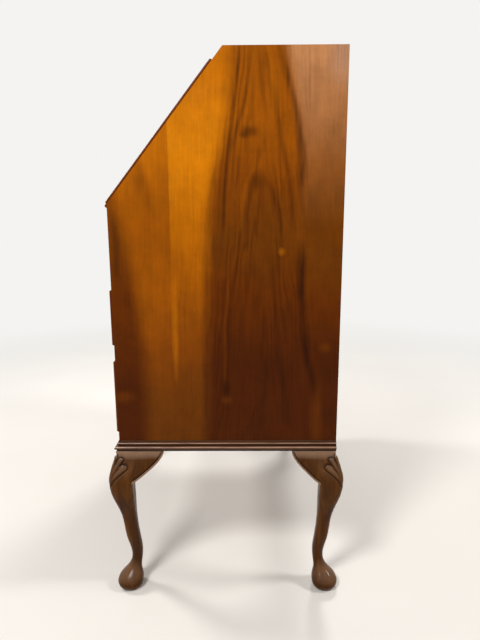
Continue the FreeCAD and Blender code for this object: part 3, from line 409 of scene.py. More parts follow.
# Lines: their course as (z, y), half width, strength and tone
FIGURE_LINES = (
    (((690, -2), (750, 1), (800, 4), (850, 9), (900, 14), (960, 22), (1020, 29)), 7.0, 0.6, "umber"),
    (((840, 11), (880, 22), (920, 33), (960, 42), (1020, 50)), 6.0, 0.5, "umber"),
    (((870, 80), (920, 74), (970, 66), (1020, 62)), 7.0, 0.3, "umber"),
    (((880, 96), (920, 92), (960, 86), (1020, 82)), 11.0, 0.45, "honey"),
    (
        ((760, 138), (810, 137), (850, 135), (890, 130), (920, 125), (955, 115), (1020, 97)),
        11.0, 0.65, "umber",
    ),
    (((700, 120), (810, 116), (850, 107), (900, 96), (960, 88)), 9.0, 0.45, "umber"),
    (((690, 30), (750, 33), (800, 42), (824, 54), (836, 62)), 7.0, 0.5, "amber"),
    (((740, 114), (790, 101), (820, 84), (838, 64)), 8.0, 0.4, "amber"),
    (((690, 39), (740, 42), (780, 47), (815, 57)), 7.0, 0.4, "umber"),
    (((680, 105), (720, 101), (760, 94), (790, 84), (818, 64)), 9.0, 0.5, "umber"),
    (
        ((390, 168), (435, 165), (460, 160), (490, 152), (530, 147), (570, 143), (620, 140), (700, 139)),
        12.0, 0.8, "umber",
    ),
    (((330, 8), (420, 3), (520, 6), (600, 13), (660, 25), (720, 33)), 7.0, 0.4, "umber"),
    (((420, -3), (520, 0), (600, 5), (660, 15), (720, 24)), 5.0, 0.4, "tan"),
    (((330, 120), (430, 112), (520, 100), (600, 92), (680, 88)), 8.0, 0.35, "umber"),
    (((330, 60), (450, 74), (490, 68), (520, 60)), 7.0, 0.3, "umber"),
    (((600, -190), (640, -194), (700, -192), (760, -198)), 10.0, 0.4, "umber"),
    (((330, -36), (450, -37), (560, -35), (660, -30)), 9.0, 0.35, "umber"),
)
# Marks: y, z, half width, half height, strength and tone
FIGURE_MARKS = (
    (70, 712, 34, 118, 0.8, "olive"),
    (46, 884, 20, 12, 0.55, "umber"),
    (36, 878, 9, 7, 0.4, "umber"),
    (60, 802, 20, 18, 0.35, "umber"),
    (-146, 806, 17, 42, 0.55, "chestnut"),
    (-132, 774, 13, 34, 0.45, "chestnut"),
    (105, 680, 8, 9, 0.6, "honey"),
    (2, 402, 13, 11, 0.35, "tan"),
    (0, 424, 12, 20, 0.6, "umber"),
    (-190, 408, 24, 15, 0.35, "tan"),
    (186, 503, 16, 12, 0.35, "tan"),
    (174, 370, 14, 85, 0.3, "tan"),
    (-91, 545, 7, 115, 0.75, "honey"),
    # The last mark, pale at the top back corner, is a painted reflection
    (205, 1000, 34, 50, 0.5, "worn"),
)
# Arches: their heart as (y, z), the band edge behind which they show, how blunt their tips are, and the
# trunk's taper, which closes them
HEART = (66.0, 818.0)
HEART_BAND = 2
HEART_ROUND = 9.0
TAPER = 0.10
# Growth rings on the sides and the front: spacing in millimetres and strength, then their wander in radians
SIDE_RINGS = (11.0, 0.3)
FRONT_RINGS = (8.0, 0.35)
RING_WANDER = 24.0
# How far the figure swings to and fro, in millimetres
SIDE_SWING = 6.0
FRONT_SWING = 22.0
# Shares of the panel's height over which a line comes in at its foot and goes out at its head
LINE_FOOT = 0.08
LINE_HEAD = (0.01, 0.05)

PANEL_LOW, PANEL_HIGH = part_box("side_panel_right")


def panel_share(y, z):
    """Place on the side panel as shares of its depth and height."""
    size = PANEL_HIGH - PANEL_LOW
    return (y * MM - PANEL_LOW.y) / size.y, (z * MM - PANEL_LOW.z) / size.z


def tones_up(tones, places):
    """Ramp stops up the panel from heights and tone names."""
    return [(panel_share(0, z)[1], getattr(tones, name)) for z, name in places]


def course(tree, back, up, places):
    """How far behind a line drawn up the panel a point lies, in metres."""
    points = [(panel_share(y, z)[1], panel_share(y, z)[0]) for z, y in places]
    line = add(tree, "FloatCurve", 1.0, up, points=points)
    off = add(tree, "Math", back, line, operation="SUBTRACT")
    return add(tree, "Math", off, PANEL_HIGH.y - PANEL_LOW.y, operation="MULTIPLY")


def cathedral(tree, across, rise):
    """Distance outwards through the growth rings of a tapering trunk, cut along near its heart.

    The rings close into arches towards the top, because the trunk tapers.
    """
    flat = add(tree, "CombineXYZ", across, HEART_ROUND * MM, 0.0)
    reach = add(tree, "VectorMath", flat, operation="LENGTH").outputs["Value"]
    return add(tree, "Math", rise, TAPER, reach, operation="MULTIPLY_ADD")


def ring_lines(tree, ring, place, colour, rings, dark, where=1.0):
    """Colour with the darker late wood of each growth ring drawn as an uneven line."""
    spacing, strength = rings
    drift = streaks(tree, place, RING_DRIFT, 2.0)
    turn = add(tree, "Math", ring, 2 * math.pi / (spacing * MM), operation="MULTIPLY")
    turn = add(tree, "Math", drift, RING_WANDER, turn, operation="MULTIPLY_ADD")
    wave = add(tree, "Math", turn, operation="SINE")
    line = add(tree, "MapRange", wave, -0.4, 1.0, 0.0, strength, **SMOOTH)
    patchy = streaks(tree, place, RING_PATCHES, 1.0)
    patchy = add(tree, "MapRange", patchy, 0.38, 0.62, 0.0, where)
    line = add(tree, "Math", line, patchy, operation="MULTIPLY")
    return add(tree, "Mix", line, colour, dark, data_type="RGBA")


def figure_bands(tree, tones, straight, swayed, up):
    """Colour of the bands, and for each band after the first how far a point is over its front edge."""
    colour = None
    edges = []
    for edge, soft, places in FIGURE_BANDS:
        band = add(tree, "ValToRGB", up, stops=tones_up(tones, places))
        if not edge:
            colour = band
            continue
        # An edge drawn by its two ends is a glued joint, which does not sway with the figure
        off = course(tree, straight if len(edge) == 2 else swayed, up, edge)
        half = soft * MM / 2
        over = add(tree, "MapRange", off, -half, half, 0.0, 1.0, **SMOOTH)
        colour = add(tree, "Mix", over, colour, band, data_type="RGBA")
        edges.append(over)
    return colour, edges


def figure_marks(tree, tones, colour, depth, height):
    """Colour with the knots, smudges and wedges laid over it."""
    for y, z, half_width, half_height, strength, name in FIGURE_MARKS:
        off = add(tree, "Math", depth, y * MM, operation="SUBTRACT")
        off = add(tree, "Math", off, half_width * MM, operation="DIVIDE")
        rise = add(tree, "Math", height, z * MM, operation="SUBTRACT")
        rise = add(tree, "Math", rise, half_height * MM, operation="DIVIDE")
        far = add(tree, "CombineXYZ", off, rise, 0.0)
        far = add(tree, "VectorMath", far, operation="LENGTH").outputs["Value"]
        mark = add(tree, "MapRange", far, 0.1, 1.2, strength, 0.0, **SMOOTH)
        colour = add(tree, "Mix", mark, colour, getattr(tones, name), data_type="RGBA")
    return colour


def figure_lines(tree, tones, colour, place, swayed, up):
    """Colour with the broken dark and light lines laid over it."""
    broken = streaks(tree, place, LINE_BREAKS, 2.0)
    broken = add(tree, "MapRange", broken, 0.3, 0.6, 0.45, 1.0)
    for places, half_width, strength, name in FIGURE_LINES:
        off = course(tree, swayed, up, places)
        off = add(tree, "Math", off, operation="ABSOLUTE")
        line = add(tree, "MapRange", off, 0.0, half_width * MM, strength, 0.0, **SMOOTH)
        foot = panel_share(0, places[0][0])[1]
        head = panel_share(0, places[-1][0])[1]
        start = add(tree, "MapRange", up, foot, foot + LINE_FOOT, 0.0, 1.0, **SMOOTH)
        line = add(tree, "Math", line, start, operation="MULTIPLY")
        line = add(tree, "Math", line, broken, operation="MULTIPLY")
        if head < 1:
            over, under = LINE_HEAD
            end = add(tree, "MapRange", up, head + over, head - under, 0.0, 1.0)
            line = add(tree, "Math", line, end, operation="MULTIPLY")
        colour = add(tree, "Mix", line, colour, getattr(tones, name), data_type="RGBA")
    return colour


def side_veneer(tones):
    """Figured walnut veneer, knife-cut and French polished: gold and red-brown flames about a heart."""
    material, tree, place = grained_material("figured_walnut_veneer_side", TURN_Z)
    axes = add(tree, "SeparateXYZ", place).outputs
    sway = streaks(tree, place, SIDE_SWAY, 2.0)
    sway = add(tree, "MapRange", sway, 0.0, 1.0, -SIDE_SWING * MM, SIDE_SWING * MM)
    depth = add(tree, "Math", axes["Y"], sway, operation="ADD")
    front_to_back = (PANEL_LOW.y, PANEL_HIGH.y, 0.0, 1.0)
    straight = add(tree, "MapRange", axes["Y"], *front_to_back, clamp=False)
    swayed = add(tree, "MapRange", depth, *front_to_back, clamp=False)
    up = add(tree, "MapRange", axes["Z"], PANEL_LOW.z, PANEL_HIGH.z, 0.0, 1.0)

    colour, edges = figure_bands(tree, tones, straight, swayed, up)
    colour = figure_marks(tree, tones, colour, depth, axes["Z"])
    colour = figure_lines(tree, tones, colour, place, swayed, up)

    across = add(tree, "Math", depth, HEART[0] * MM, operation="SUBTRACT")
    rise = add(tree, "Math", axes["Z"], HEART[1] * MM, operation="SUBTRACT")
    figured = add(tree, "MapRange", edges[HEART_BAND], 0.0, 1.0, 0.2, 1.0)
    calm = add(tree, "MapRange", edges[-1], 0.0, 1.0, 1.0, 0.3)
    figured = add(tree, "Math", figured, calm, operation="MULTIPLY")
    ring = cathedral(tree, across, rise)
    colour = ring_lines(tree, ring, place, colour, SIDE_RINGS, tones.umber, figured)
    cloud = streaks(tree, place, CLOUDS, 4.0)
    cloud = add(tree, "MapRange", cloud, 0.3, 0.7, 0.84, 1.14)
    ripple = streaks(tree, place, RIPPLE, 3.0)
    ripple = add(tree, "MapRange", ripple, 0.3, 0.7, 0.965, 1.03)
    colour = shaded(tree, colour, add(tree, "Math", cloud, ripple, operation="MULTIPLY"))
    colour, height = grain_shade(tree, place, colour, strength=0.35)
    return polished(material, colour, height)


def turned_box(node, turn):
    """Corners of a packed piece in turned axes."""
    points = [turn @ vertex.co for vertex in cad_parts[node].data.vertices]
    low = Vector(min(point[axis] for point in points) for axis in range(3))
    high = Vector(max(point[axis] for point in points) for axis in range(3))
    return low, high


def fall_turn():
    """Turn about X that stands the closed fall upright, from the slope of its leather."""
    points = [vertex.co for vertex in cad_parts["fall_leather"].data.vertices]
    foot = min(points, key=lambda point: point.z)
    head = max(points, key=lambda point: point.z)
    return math.atan2(head.y - foot.y, head.z - foot.z)


def border(tree, axes, low, high):
    """How far a point of an upright panel lies from its nearer side and from its nearer end."""
    side = add(tree, "Math", axes["X"], operation="ABSOLUTE")
    from_side = add(tree, "Math", high.x, side, operation="SUBTRACT")
    from_low = add(tree, "Math", axes["Z"], low.z, operation="SUBTRACT")
    from_high = add(tree, "Math", high.z, axes["Z"], operation="SUBTRACT")
    return from_side, add(tree, "Math", from_low, from_high, operation="MINIMUM")


# Front veneer in millimetres: its border, the heart of each matched leaf, and tones outwards from the heart
BAND_WIDTH = 24.0
STRING_WIDTH = 2.0
MATCH_HEART = 118.0
MATCH_LEVEL = 560.0
FLANK_REACH = 190.0
FRONT_FLANK = (
    (0, "russet"), (12, "chestnut"), (24, "tan"), (34, "chestnut"), (46, "tan"), (60, "amber"), (72, "tan"),
    (80, "chestnut"), (86, "chestnut"), (104, "amber"), (126, "honey"), (150, "amber"), (170, "tan"),
    (190, "chestnut"),
)


def front_veneer(tones, name, node, turn):
    """Book-matched walnut veneer with a cross-banded border inside a dark string line, French polished."""
    material, tree, place = grained_material(name, turn)
    low, high = turned_box(node, Matrix.Rotation(turn[0], 3, "X"))
    axes = add(tree, "SeparateXYZ", place).outputs
    side = add(tree, "Math", axes["X"], operation="ABSOLUTE")
    folded = add(tree, "CombineXYZ", side, axes["Y"], axes["Z"])
    sway = streaks(tree, folded, FRONT_SWAY, 2.0)
    sway = add(tree, "MapRange", sway, 0.0, 1.0, -FRONT_SWING * MM, FRONT_SWING * MM)
    across = add(tree, "Math", side, sway, operation="ADD")
    across = add(tree, "Math", across, MATCH_HEART * MM, operation="SUBTRACT")
    rise = add(tree, "Math", axes["Z"], MATCH_LEVEL * MM, operation="SUBTRACT")
    ring = cathedral(tree, across, rise)
    share = add(tree, "Math", ring, FLANK_REACH * MM, operation="DIVIDE")
    share = add(tree, "Math", share, 1.0, operation="PINGPONG")
    stops = [(distance / FLANK_REACH, getattr(tones, name)) for distance, name in FRONT_FLANK]
    colour = add(tree, "ValToRGB", share, stops=stops)
    colour = ring_lines(tree, ring, folded, colour, FRONT_RINGS, tones.umber)
    colour, height = grain_shade(tree, folded, colour, strength=0.7)

    crossways = add(tree, "Mapping", named={"Vector": place, "Rotation": TURN_X})
    band = grain_shade(tree, crossways, tones.russet)[0]
    upright = grain_shade(tree, place, tones.russet)[0]
    from_side, from_end = border(tree, axes, low, high)
    mitre = add(tree, "Math", from_side, from_end, operation="LESS_THAN")
    band = add(tree, "Mix", mitre, upright, band, data_type="RGBA")
    edge = add(tree, "Math", from_side, from_end, operation="MINIMUM")
    inside = add(tree, "Math", edge, BAND_WIDTH * MM, operation="GREATER_THAN")
    colour = add(tree, "Mix", inside, band, colour, data_type="RGBA")
    string = add(tree, "Math", edge, BAND_WIDTH * MM, STRING_WIDTH * MM / 2, operation="COMPARE")
    colour = add(tree, "Mix", string, colour, tones.umber, data_type="RGBA")
    return polished(material, colour, height)


def plain_walnut(tones, name, turn):
    """Solid walnut, planed and polished: long dark and light streaks."""
    material, tree, place = grained_material(name, turn)
    stops = [(0.26, tones.solid_dark), (0.50, tones.solid_light), (0.76, tones.chestnut)]
    colour = add(tree, "ValToRGB", streaks(tree, place, BOARD_BANDS, 3.0), stops=stops)
    colour, height = grain_shade(tree, place, colour)
    return polished(material, colour, height, gloss=0.14)


def facing_up(tree):
    """How far a face looks up: 1 for a level top, 0 for an upright face."""
    facing = add(tree, "NewGeometry").outputs["Normal"]
    return add(tree, "SeparateXYZ", facing).outputs["Z"]


def moulded_walnut(tones, name, turn):
    """Solid walnut moulding, polished dark, with a painted highlight in patches where the faces of its beads
    look up.
    """
    material, tree, place = grained_material(name, turn)
    stops = [(0.30, tones.solid_dark), (0.55, tones.solid_mid), (0.80, tones.chestnut)]
    colour = add(tree, "ValToRGB", streaks(tree, place, MOULDING_BANDS, 3.0), stops=stops)
    # Painted highlight: paler where the beads' faces look up, but not on the flat top, broken into patches
    upwards = facing_up(tree)
    crest = add(tree, "MapRange", upwards, 0.05, 0.55, 0.0, 1.0)
    flat = add(tree, "MapRange", upwards, 0.8, 0.97, 1.0, 0.15)
    crest = add(tree, "Math", crest, flat, operation="MULTIPLY")
    patchy = streaks(tree, place, RUBBED_PATCHES, 2.0)
    patchy = add(tree, "MapRange", patchy, 0.3, 0.6, 0.35, 0.9)
    crest = add(tree, "Math", crest, patchy, operation="MULTIPLY")
    colour = add(tree, "Mix", crest, colour, tones.worn, data_type="RGBA")
    colour, height = grain_shade(tree, place, colour, strength=0.7)
    return polished(material, colour, height, roughness=0.2, gloss=0.22)


def carved_walnut(tones):
    """Solid walnut, carved and polished: dark wax in the hollows, and a painted sheen, pale on the crests
    and on faces that look up.
    """
    material, tree, place = grained_material("carved_walnut", TURN_Z)
    stops = [(0.22, tones.solid_dark), (0.50, tones.solid_mid), (0.80, tones.solid_light)]
    colour = add(tree, "ValToRGB", streaks(tree, place, LEG_BANDS, 2.0), stops=stops)
    colour, height = grain_shade(tree, place, colour, strength=0.35)
    # The crest attribute holds a painted sheen; it and the faces that look up are painted pale as highlights
    crest, hollow = (
        add(tree, "Attribute", attribute_name=name).outputs["Fac"] for name in ("crest", "hollow")
    )
    layers = (
        (facing_up(tree), 0.1, 0.8, 0.2, tones.painted_sheen),
        (crest, 0.3, 1.0, 0.6, tones.painted_sheen),
        (hollow, 0.35, 0.9, 0.7, tones.wax),
    )
    for mark, least, most, strength, layer in layers:
        share = add(tree, "MapRange", mark, least, most, 0.0, strength)
        colour = add(tree, "Mix", share, colour, layer, data_type="RGBA")
    return polished(material, colour, height, roughness=0.16, gloss=0.1)


def plain_oak(tones, name, turn, lipped=None):
    """Oak, sawn and planed but never polished: pale, open-grained and dry, and dark with age.

    The front edge of a lipped piece is faced with dark walnut.
    """
    material, tree, place = grained_material(name, turn)
    stops = [(0.34, tones.oak_dark), (0.66, tones.oak_light)]
    colour = add(tree, "ValToRGB", streaks(tree, place, OAK_BANDS, 3.0), stops=stops)
    if lipped:
        unturned = add(tree, "TexCoord").outputs["Object"]
        deep = add(tree, "SeparateXYZ", unturned).outputs["Y"]
        lip = add(tree, "Math", deep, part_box(lipped)[0].y + LIP * MM, operation="LESS_THAN")
        colour = add(tree, "Mix", lip, colour, tones.solid_mid, data_type="RGBA")
    colour, height = grain_shade(tree, place, colour, strength=0.8)
    return polished(material, colour, height, roughness=0.62, gloss=0.2, depth=0.12)


# How far tarnish and rust hide their metal at most
TARNISH_COVER = 0.65
RUST_COVER = 0.7


def skinned_metal(material, height, skin, cover, colours, roughness, depth):
    """Metal with a dull skin in patches, rougher where the skin is thicker."""
    tree = material.node_tree
    colour = add(tree, "Mix", skin, *colours, data_type="RGBA")
    rough = add(tree, "MapRange", skin, 0.0, cover, *roughness)
    looks = {"Base Color": colour, "Metallic": 1.0, "Roughness": rough}
    return surfaced(material, looks, height, strength=0.2, depth=depth)


def old_brass(tones):
    """Cast brass, lacquered long ago: rubbed bright where hands reach, brown where they do not."""
    material, tree, place = new_material("aged_brass")
    patch = add(tree, "TexNoise", named={"Vector": place, "Scale": TARNISH, "Detail": 4.0})
    speck = add(tree, "TexNoise", named={"Vector": place, "Scale": TARNISH_SPECKS, "Detail": 2.0})
    both = add(tree, "Math", speck, 0.3, operation="MULTIPLY")
    both = add(tree, "Math", patch, 0.7, both, operation="MULTIPLY_ADD")
    skin = add(tree, "MapRange", both, 0.40, 0.62, TARNISH_COVER, 0.0)
    colours = (tones.brass, tones.tarnish)
    return skinned_metal(material, both, skin, TARNISH_COVER, colours, roughness=(0.24, 0.45), depth=0.05)


def dull_steel(tones):
    """Wrought steel, filed and handled: grey, with a brown skin in patches."""
    material, tree, place = new_material("dull_steel")
    patch = add(tree, "TexNoise", named={"Vector": place, "Scale": RUST, "Detail": 4.0})
    skin = add(tree, "MapRange", patch, 0.42, 0.66, 0.0, RUST_COVER)
    colours = (tones.steel, tones.rust)
    return skinned_metal(material, patch, skin, RUST_COVER, colours, roughness=(0.34, 0.6), depth=0.04)


# Leather in millimetres: for each tooled line, how far it lies from the edge and its width, then the grain
GILT_LINE = (14.0, 2.4)
GILT_HAIRLINE = (19.0, 0.8)
LEATHER_GRAIN = 1.4


def writing_leather(tones, turn):
    """Goatskin, dyed green and polished by sleeves, with a gilt line tooled round it."""
    material, tree, place = grained_material("gilt_leather", turn)
    low, high = turned_box("fall_leather", Matrix.Rotation(turn[0], 3, "X"))
    axes = add(tree, "SeparateXYZ", place).outputs
    grain = {"Vector": place, "Scale": 1 / (LEATHER_GRAIN * MM)}
    cells = add(tree, "TexVoronoi", named=grain, feature="DISTANCE_TO_EDGE")
    cloud = add(tree, "TexNoise", named={"Vector": place, "Scale": WORN_LEATHER, "Detail": 4.0})
    worn = add(tree, "MapRange", cloud, 0.4, 0.7, 0.0, 0.8)
    colour = add(tree, "Mix", worn, tones.leather, tones.leather_worn, data_type="RGBA")
    edge = add(tree, "Math", *border(tree, axes, low, high), operation="MINIMUM")
    lines = [
        add(tree, "Math", edge, inset * MM, width * MM / 2, operation="COMPARE")
        for inset, width in (GILT_LINE, GILT_HAIRLINE)
    ]
    gilt = add(tree, "Math", *lines, operation="MAXIMUM")
    colour = add(tree, "Mix", gilt, colour, tones.gilt, data_type="RGBA")
    pebble = add(tree, "MapRange", cells.outputs["Distance"], 0.0, 0.25, 0.0, 1.0)
    pressed = add(tree, "Math", pebble, gilt, operation="SUBTRACT")
    rough = add(tree, "MapRange", worn, 0.0, 0.8, 0.52, 0.4)
    looks = {"Base Color": colour, "Metallic": gilt, "Roughness": rough}
    return surfaced(material, looks, pressed, strength=0.5, depth=0.2)


# Points nearer than this are one, and each smoothing pass moves a point this share of the way
MERGE_DISTANCE = 1e-6
SMOOTH_SHARE = 0.5


def regridded(name, node, voxel, passes, reach=None):
    """Object with a packed piece's shape on an even grid that can be carved, and its bmesh.

    Where reach is given, it says how far each point is drawn out before the grid is laid.
    """
    shape = bmesh.new()
    shape.from_mesh(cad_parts[node].data)
    bmesh.ops.remove_doubles(shape, verts=shape.verts, dist=MERGE_DISTANCE)
    if reach:
        shape.normal_update()
        moves = [reach(vertex) for vertex in shape.verts]
        for vertex, move in zip(shape.verts, moves):
            vertex.co += move
    mesh = bpy.data.meshes.new(name)
    shape.to_mesh(mesh)
    shape.free()
    piece = bpy.data.objects.new(name, mesh)
    bpy.context.scene.collection.objects.link(piece)
    grid = piece.modifiers.new("Grid", "REMESH")
    grid.mode = "VOXEL"
    grid.voxel_size = voxel
    view = bpy.context.evaluated_depsgraph_get()
    piece.data = bpy.data.meshes.new_from_object(piece.evaluated_get(view))
    piece.modifiers.clear()
    piece.data.name = name
    shape = bmesh.new()
    shape.from_mesh(piece.data)
    for _ in range(passes):
        bmesh.ops.smooth_vert(
            shape, verts=shape.verts, factor=SMOOTH_SHARE, use_axis_x=True, use_axis_y=True, use_axis_z=True
        )
    shape.normal_update()
    return piece, shape


def carve(piece, shape, cut, deepest):
    """Presses each point of the grid in by what cut gives, and keeps where it is hollow and how far it is
    painted pale as a sheen.
    """
    cuts = [cut(vertex) for vertex in shape.verts]
    for vertex, (depth, _) in zip(shape.verts, cuts):
        vertex.co -= vertex.normal * depth
    for face in shape.faces:
        face.smooth = True
    shape.to_mesh(piece.data)
    shape.free()
    hollow = piece.data.attributes.new("hollow", "FLOAT", "POINT")
    hollow.data.foreach_set("value", [min(1.0, max(0.0, depth / deepest)) for depth, _ in cuts])
    crest = piece.data.attributes.new("crest", "FLOAT", "POINT")
    crest.data.foreach_set("value", [share for _, share in cuts])


def smooth_step(low, high, value):
    """0 below low, 1 above high, and an even ease between them."""
    share = min(1.0, max(0.0, (value - low) / (high - low)))
    return share * share * (3 - 2 * share)


# Lobes of one knee in millimetres: how far the round top lies from the leg's outer corner, its height and
# half width
KNEE_LOBES = (
    (0.0, 293.0, 4.5), (11.5, 287.5, 6.0), (20.5, 274.5, 9.0), (-11.5, 287.5, 6.0), (-20.5, 274.5, 9.0),
)
# How lobes bend from the corner, how strongly their crests are painted pale as a highlight, and the steps in
# which a leg is read
LOBE_CURVE = 1.3
LOBE_PAINTED_SHEEN = 0.5
LEVEL_STEP = 4 * MM
# The ears' lower edge is read in steps along each ear, and a bead looks this many steps either way for it
EAR_STEP = 1 * MM
EAR_SEARCH = 8
# How squarely a point of an ear has to face outwards to be carved, or to face its leg to be drawn into it
FACES_OUT = 0.5
FACES_LEG = 0.3


def outer_faces(shape, side, end):
    """How far the leg reaches out along X and Y at each level."""
    reaches = {}
    for vertex in shape.verts:
        level = round(vertex.co.z / LEVEL_STEP)
        wide, deep = reaches.get(level, (0.0, 0.0))
        reaches[level] = (max(wide, side * vertex.co.x), max(deep, end * vertex.co.y))
    return reaches


def knee_cut(sizes, reaches, side, end):
    """Depth of the carving at a point of the leg: lobes fan up from a point on its outer corner."""
    tip = sizes.tip_level
    top = max(reaches) * LEVEL_STEP

    def cut(vertex):
        point = vertex.co
        if point.z < tip - sizes.fade:
            return 0.0, 0.0
        wide, deep = reaches[round(point.z / LEVEL_STEP)]
        from_corner = (deep - end * point.y) - (wide - side * point.x)
        nearest = sizes.fade
        crest = lift = 0.0
        for top_place, top_level, top_half in KNEE_LOBES:
            cap = (top_level - top_half) * MM
            share = min(1.0, max(0.0, (point.z - tip) / (cap - tip)))
            half = sizes.lobe_tip + (top_half * MM - sizes.lobe_tip) * share
            off = from_corner - top_place * MM * share ** LOBE_CURVE
            beyond = max(0.0, point.z - cap, tip - point.z)
            far = math.hypot(off, beyond) / half
            nearest = min(nearest, max(0.0, (far - 1) * half))
            round_top = math.sqrt(max(0.0, 1 - far * far))
            crest = max(crest, round_top)
            lift = max(lift, round_top * math.sqrt(share))
        ground = 1 - smooth_step(0.0, sizes.fade, nearest)
        # Painted sheen: the lobes' crests and the top below the moulding are painted pale, standing for
        # highlights
        rubbed = max(LOBE_PAINTED_SHEEN * lift, smooth_step(top - sizes.sheen, top, point.z))
        return sizes.depth * ground * (1 - crest) - sizes.rise * lift, rubbed

    return cut


def add_piece(piece, body, slot, material, *nodes):
    """Hands a finished piece to the frame."""
    piece.data.materials.clear()
    piece.data.materials.append(material)
    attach(piece, body)
    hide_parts(*nodes)


def ear_place(point, side_limit):
    """Which ear a point is on, how far along it, which way that ear faces, and which way its leg lies."""
    side = Vector((math.copysign(1, point.x), 0, 0))
    end = Vector((0, math.copysign(1, point.y), 0))
    if abs(point.x) > side_limit:
        return (True, point.x > 0, point.y > 0), abs(point.y), side, end
    return (False, point.x > 0, point.y > 0), abs(point.x), end, side


def ear_cut(sizes, shape, side_limit):
    """Depth of the groove that leaves a bead along the ears' lower edge."""
    edges = {}
    for vertex in shape.verts:
        ear, along = ear_place(vertex.co, side_limit)[:2]
        edge = edges.setdefault(ear, {})
        step = round(along / EAR_STEP)
        edge[step] = min(edge.get(step, math.inf), vertex.co.z)
    top = max(vertex.co.z for vertex in shape.verts)

    def cut(vertex):
        ear, along, outwards = ear_place(vertex.co, side_limit)[:3]
        if vertex.normal.dot(outwards) < FACES_OUT:
            return 0.0, 0.0
        step = round(along / EAR_STEP)
        near = [
            math.hypot(other * EAR_STEP - along, level - vertex.co.z)
            for other, level in edges[ear].items()
            if abs(other - step) < EAR_SEARCH
        ]
        off = abs(min(near) - sizes.bead) / sizes.quirk_half
        # Painted highlight: the bead and the top below the moulding are painted pale
        on_bead = 1 - smooth_step(sizes.bead / 2, sizes.bead, min(near))
        rubbed = max(on_bead, smooth_step(top - sizes.sheen, top, vertex.co.z))
        return sizes.quirk * max(0.0, 1 - off * off), rubbed

    return cut


class BUREAU_OT_side_veneer(bpy.types.Operator):
    """Veneers the two sides"""

    bl_idname = "bureau.side_veneer"
    bl_label = "Side veneer"

    def execute(self, context):
        dress(SIDE_NODES, side_veneer(context.scene.bureau_woods))
        return {"FINISHED"}


class BUREAU_OT_front_veneer(bpy.types.Operator):
    """Veneers the fall and the drawer fronts"""

    bl_idname = "bureau.front_veneer"
    bl_label = "Front veneer"

    def execute(self, context):
        tones = context.scene.bureau_woods
        slope = (fall_turn(), 0.0, 0.0)
        dress(["fall_board"], front_veneer(tones, "figured_walnut_veneer_fall", "fall_board", slope))
        for name in DRAWERS:
            node = name + "_front"
            dress([node], front_veneer(tones, "figured_walnut_veneer_" + name, node, TURN_Z))
        return {"FINISHED"}


class BUREAU_OT_solid_walnut(bpy.types.Operator):
    """Polishes the rails, boards and mouldings of solid walnut"""

    bl_idname = "bureau.solid_walnut"
    bl_label = "Solid walnut"

    def execute(self, context):
        tones = context.scene.bureau_woods
        for name, turn, nodes in WALNUT:
            dress(nodes, plain_walnut(tones, name, turn))
        for name, turn, nodes in MOULDINGS:
            dress(nodes, moulded_walnut(tones, name, turn))
        return {"FINISHED"}


class BUREAU_OT_carved_legs(bpy.types.Operator):
    """Carves the knees of the four legs"""

    bl_idname = "bureau.carved_legs"
    bl_label = "Carved legs"

    def execute(self, context):
        sizes = context.scene.bureau_carving
        material = carved_walnut(context.scene.bureau_woods)
        for node in LEG_NODES:
            low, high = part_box(node)
            side = math.copysign(1, low.x + high.x)
            end = math.copysign(1, low.y + high.y)
            piece, shape = regridded("carved_" + node, node, sizes.voxel, sizes.smoothing)
            cut = knee_cut(sizes, outer_faces(shape, side, end), side, end)
            carve(piece, shape, cut, sizes.depth)
            add_piece(piece, "carcase", "solid_walnut", material, node)
        return {"FINISHED"}


class BUREAU_OT_ears(bpy.types.Operator):
    """Carves a bead along the ears beside the knees"""

    bl_idname = "bureau.ears"
    bl_label = "Knee ears"

    def execute(self, context):
        sizes = context.scene.bureau_carving
        side_limit = abs(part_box("leg_front_left")[1].x)

        def into_leg(vertex):
            legwards = ear_place(vertex.co, side_limit)[3]
            return legwards * sizes.overlap if vertex.normal.dot(legwards) > FACES_LEG else Vector()

        piece, shape = regridded("beaded_ears", "knee_ears", sizes.ear_voxel, sizes.smoothing, into_leg)
        carve(piece, shape, ear_cut(sizes, shape, side_limit), sizes.quirk)
        add_piece(piece, "carcase", "solid_walnut", bpy.data.materials["carved_walnut"], "knee_ears")
        return {"FINISHED"}


class BUREAU_OT_oak_linings(bpy.types.Operator):
    """Finishes the oak that lines the case and the drawers"""

    bl_idname = "bureau.oak_linings"
    bl_label = "Oak linings"

    def execute(self, context):
        tones = context.scene.bureau_woods
        for name, turn, nodes in OAK:
            dress(nodes, plain_oak(tones, name, turn))
        for name, turn, node in LIPPED_OAK:
            dress([node], plain_oak(tones, name, turn, node))
        return {"FINISHED"}


class BUREAU_OT_metal(bpy.types.Operator):
    """Finishes the brass and steel fittings"""

    bl_idname = "bureau.metal"
    bl_label = "Metal fittings"

    def execute(self, context):
        tones = context.scene.bureau_fittings
        dress(BRASS_NODES, old_brass(tones))
        dress(STEEL_NODES, dull_steel(tones))
        return {"FINISHED"}


class BUREAU_OT_leather(bpy.types.Operator):
    """Finishes the writing leather"""

    bl_idname = "bureau.leather"
    bl_label = "Writing leather"

    def execute(self, context):
        dress(["fall_leather"], writing_leather(context.scene.bureau_fittings, (fall_turn(), 0.0, 0.0)))
        return {"FINISHED"}


# Lamps: where they stand, in metres, and whether each is the main one, then their width and what they face
LAMP_PLACES = (
    ("key_lamp", (1.7, -0.9, 2.3), True),
    ("front_lamp", (-0.6, -2.2, 2.3), False),
    ("left_lamp", (-2.0, 0.6, 2.3), False),
    ("back_lamp", (0.5, 2.3, 2.2), False),
)
LAMP_SIZE = 0.6
LAMP_AIM = (0.0, 0.0, 0.65)
# Floor: its radius, the corners of its rim, and the distances over which it runs out into the background
FLOOR_RADIUS = 9.0
FLOOR_STEPS = 96
FADE_START = 0.9
FADE_END = 2.8


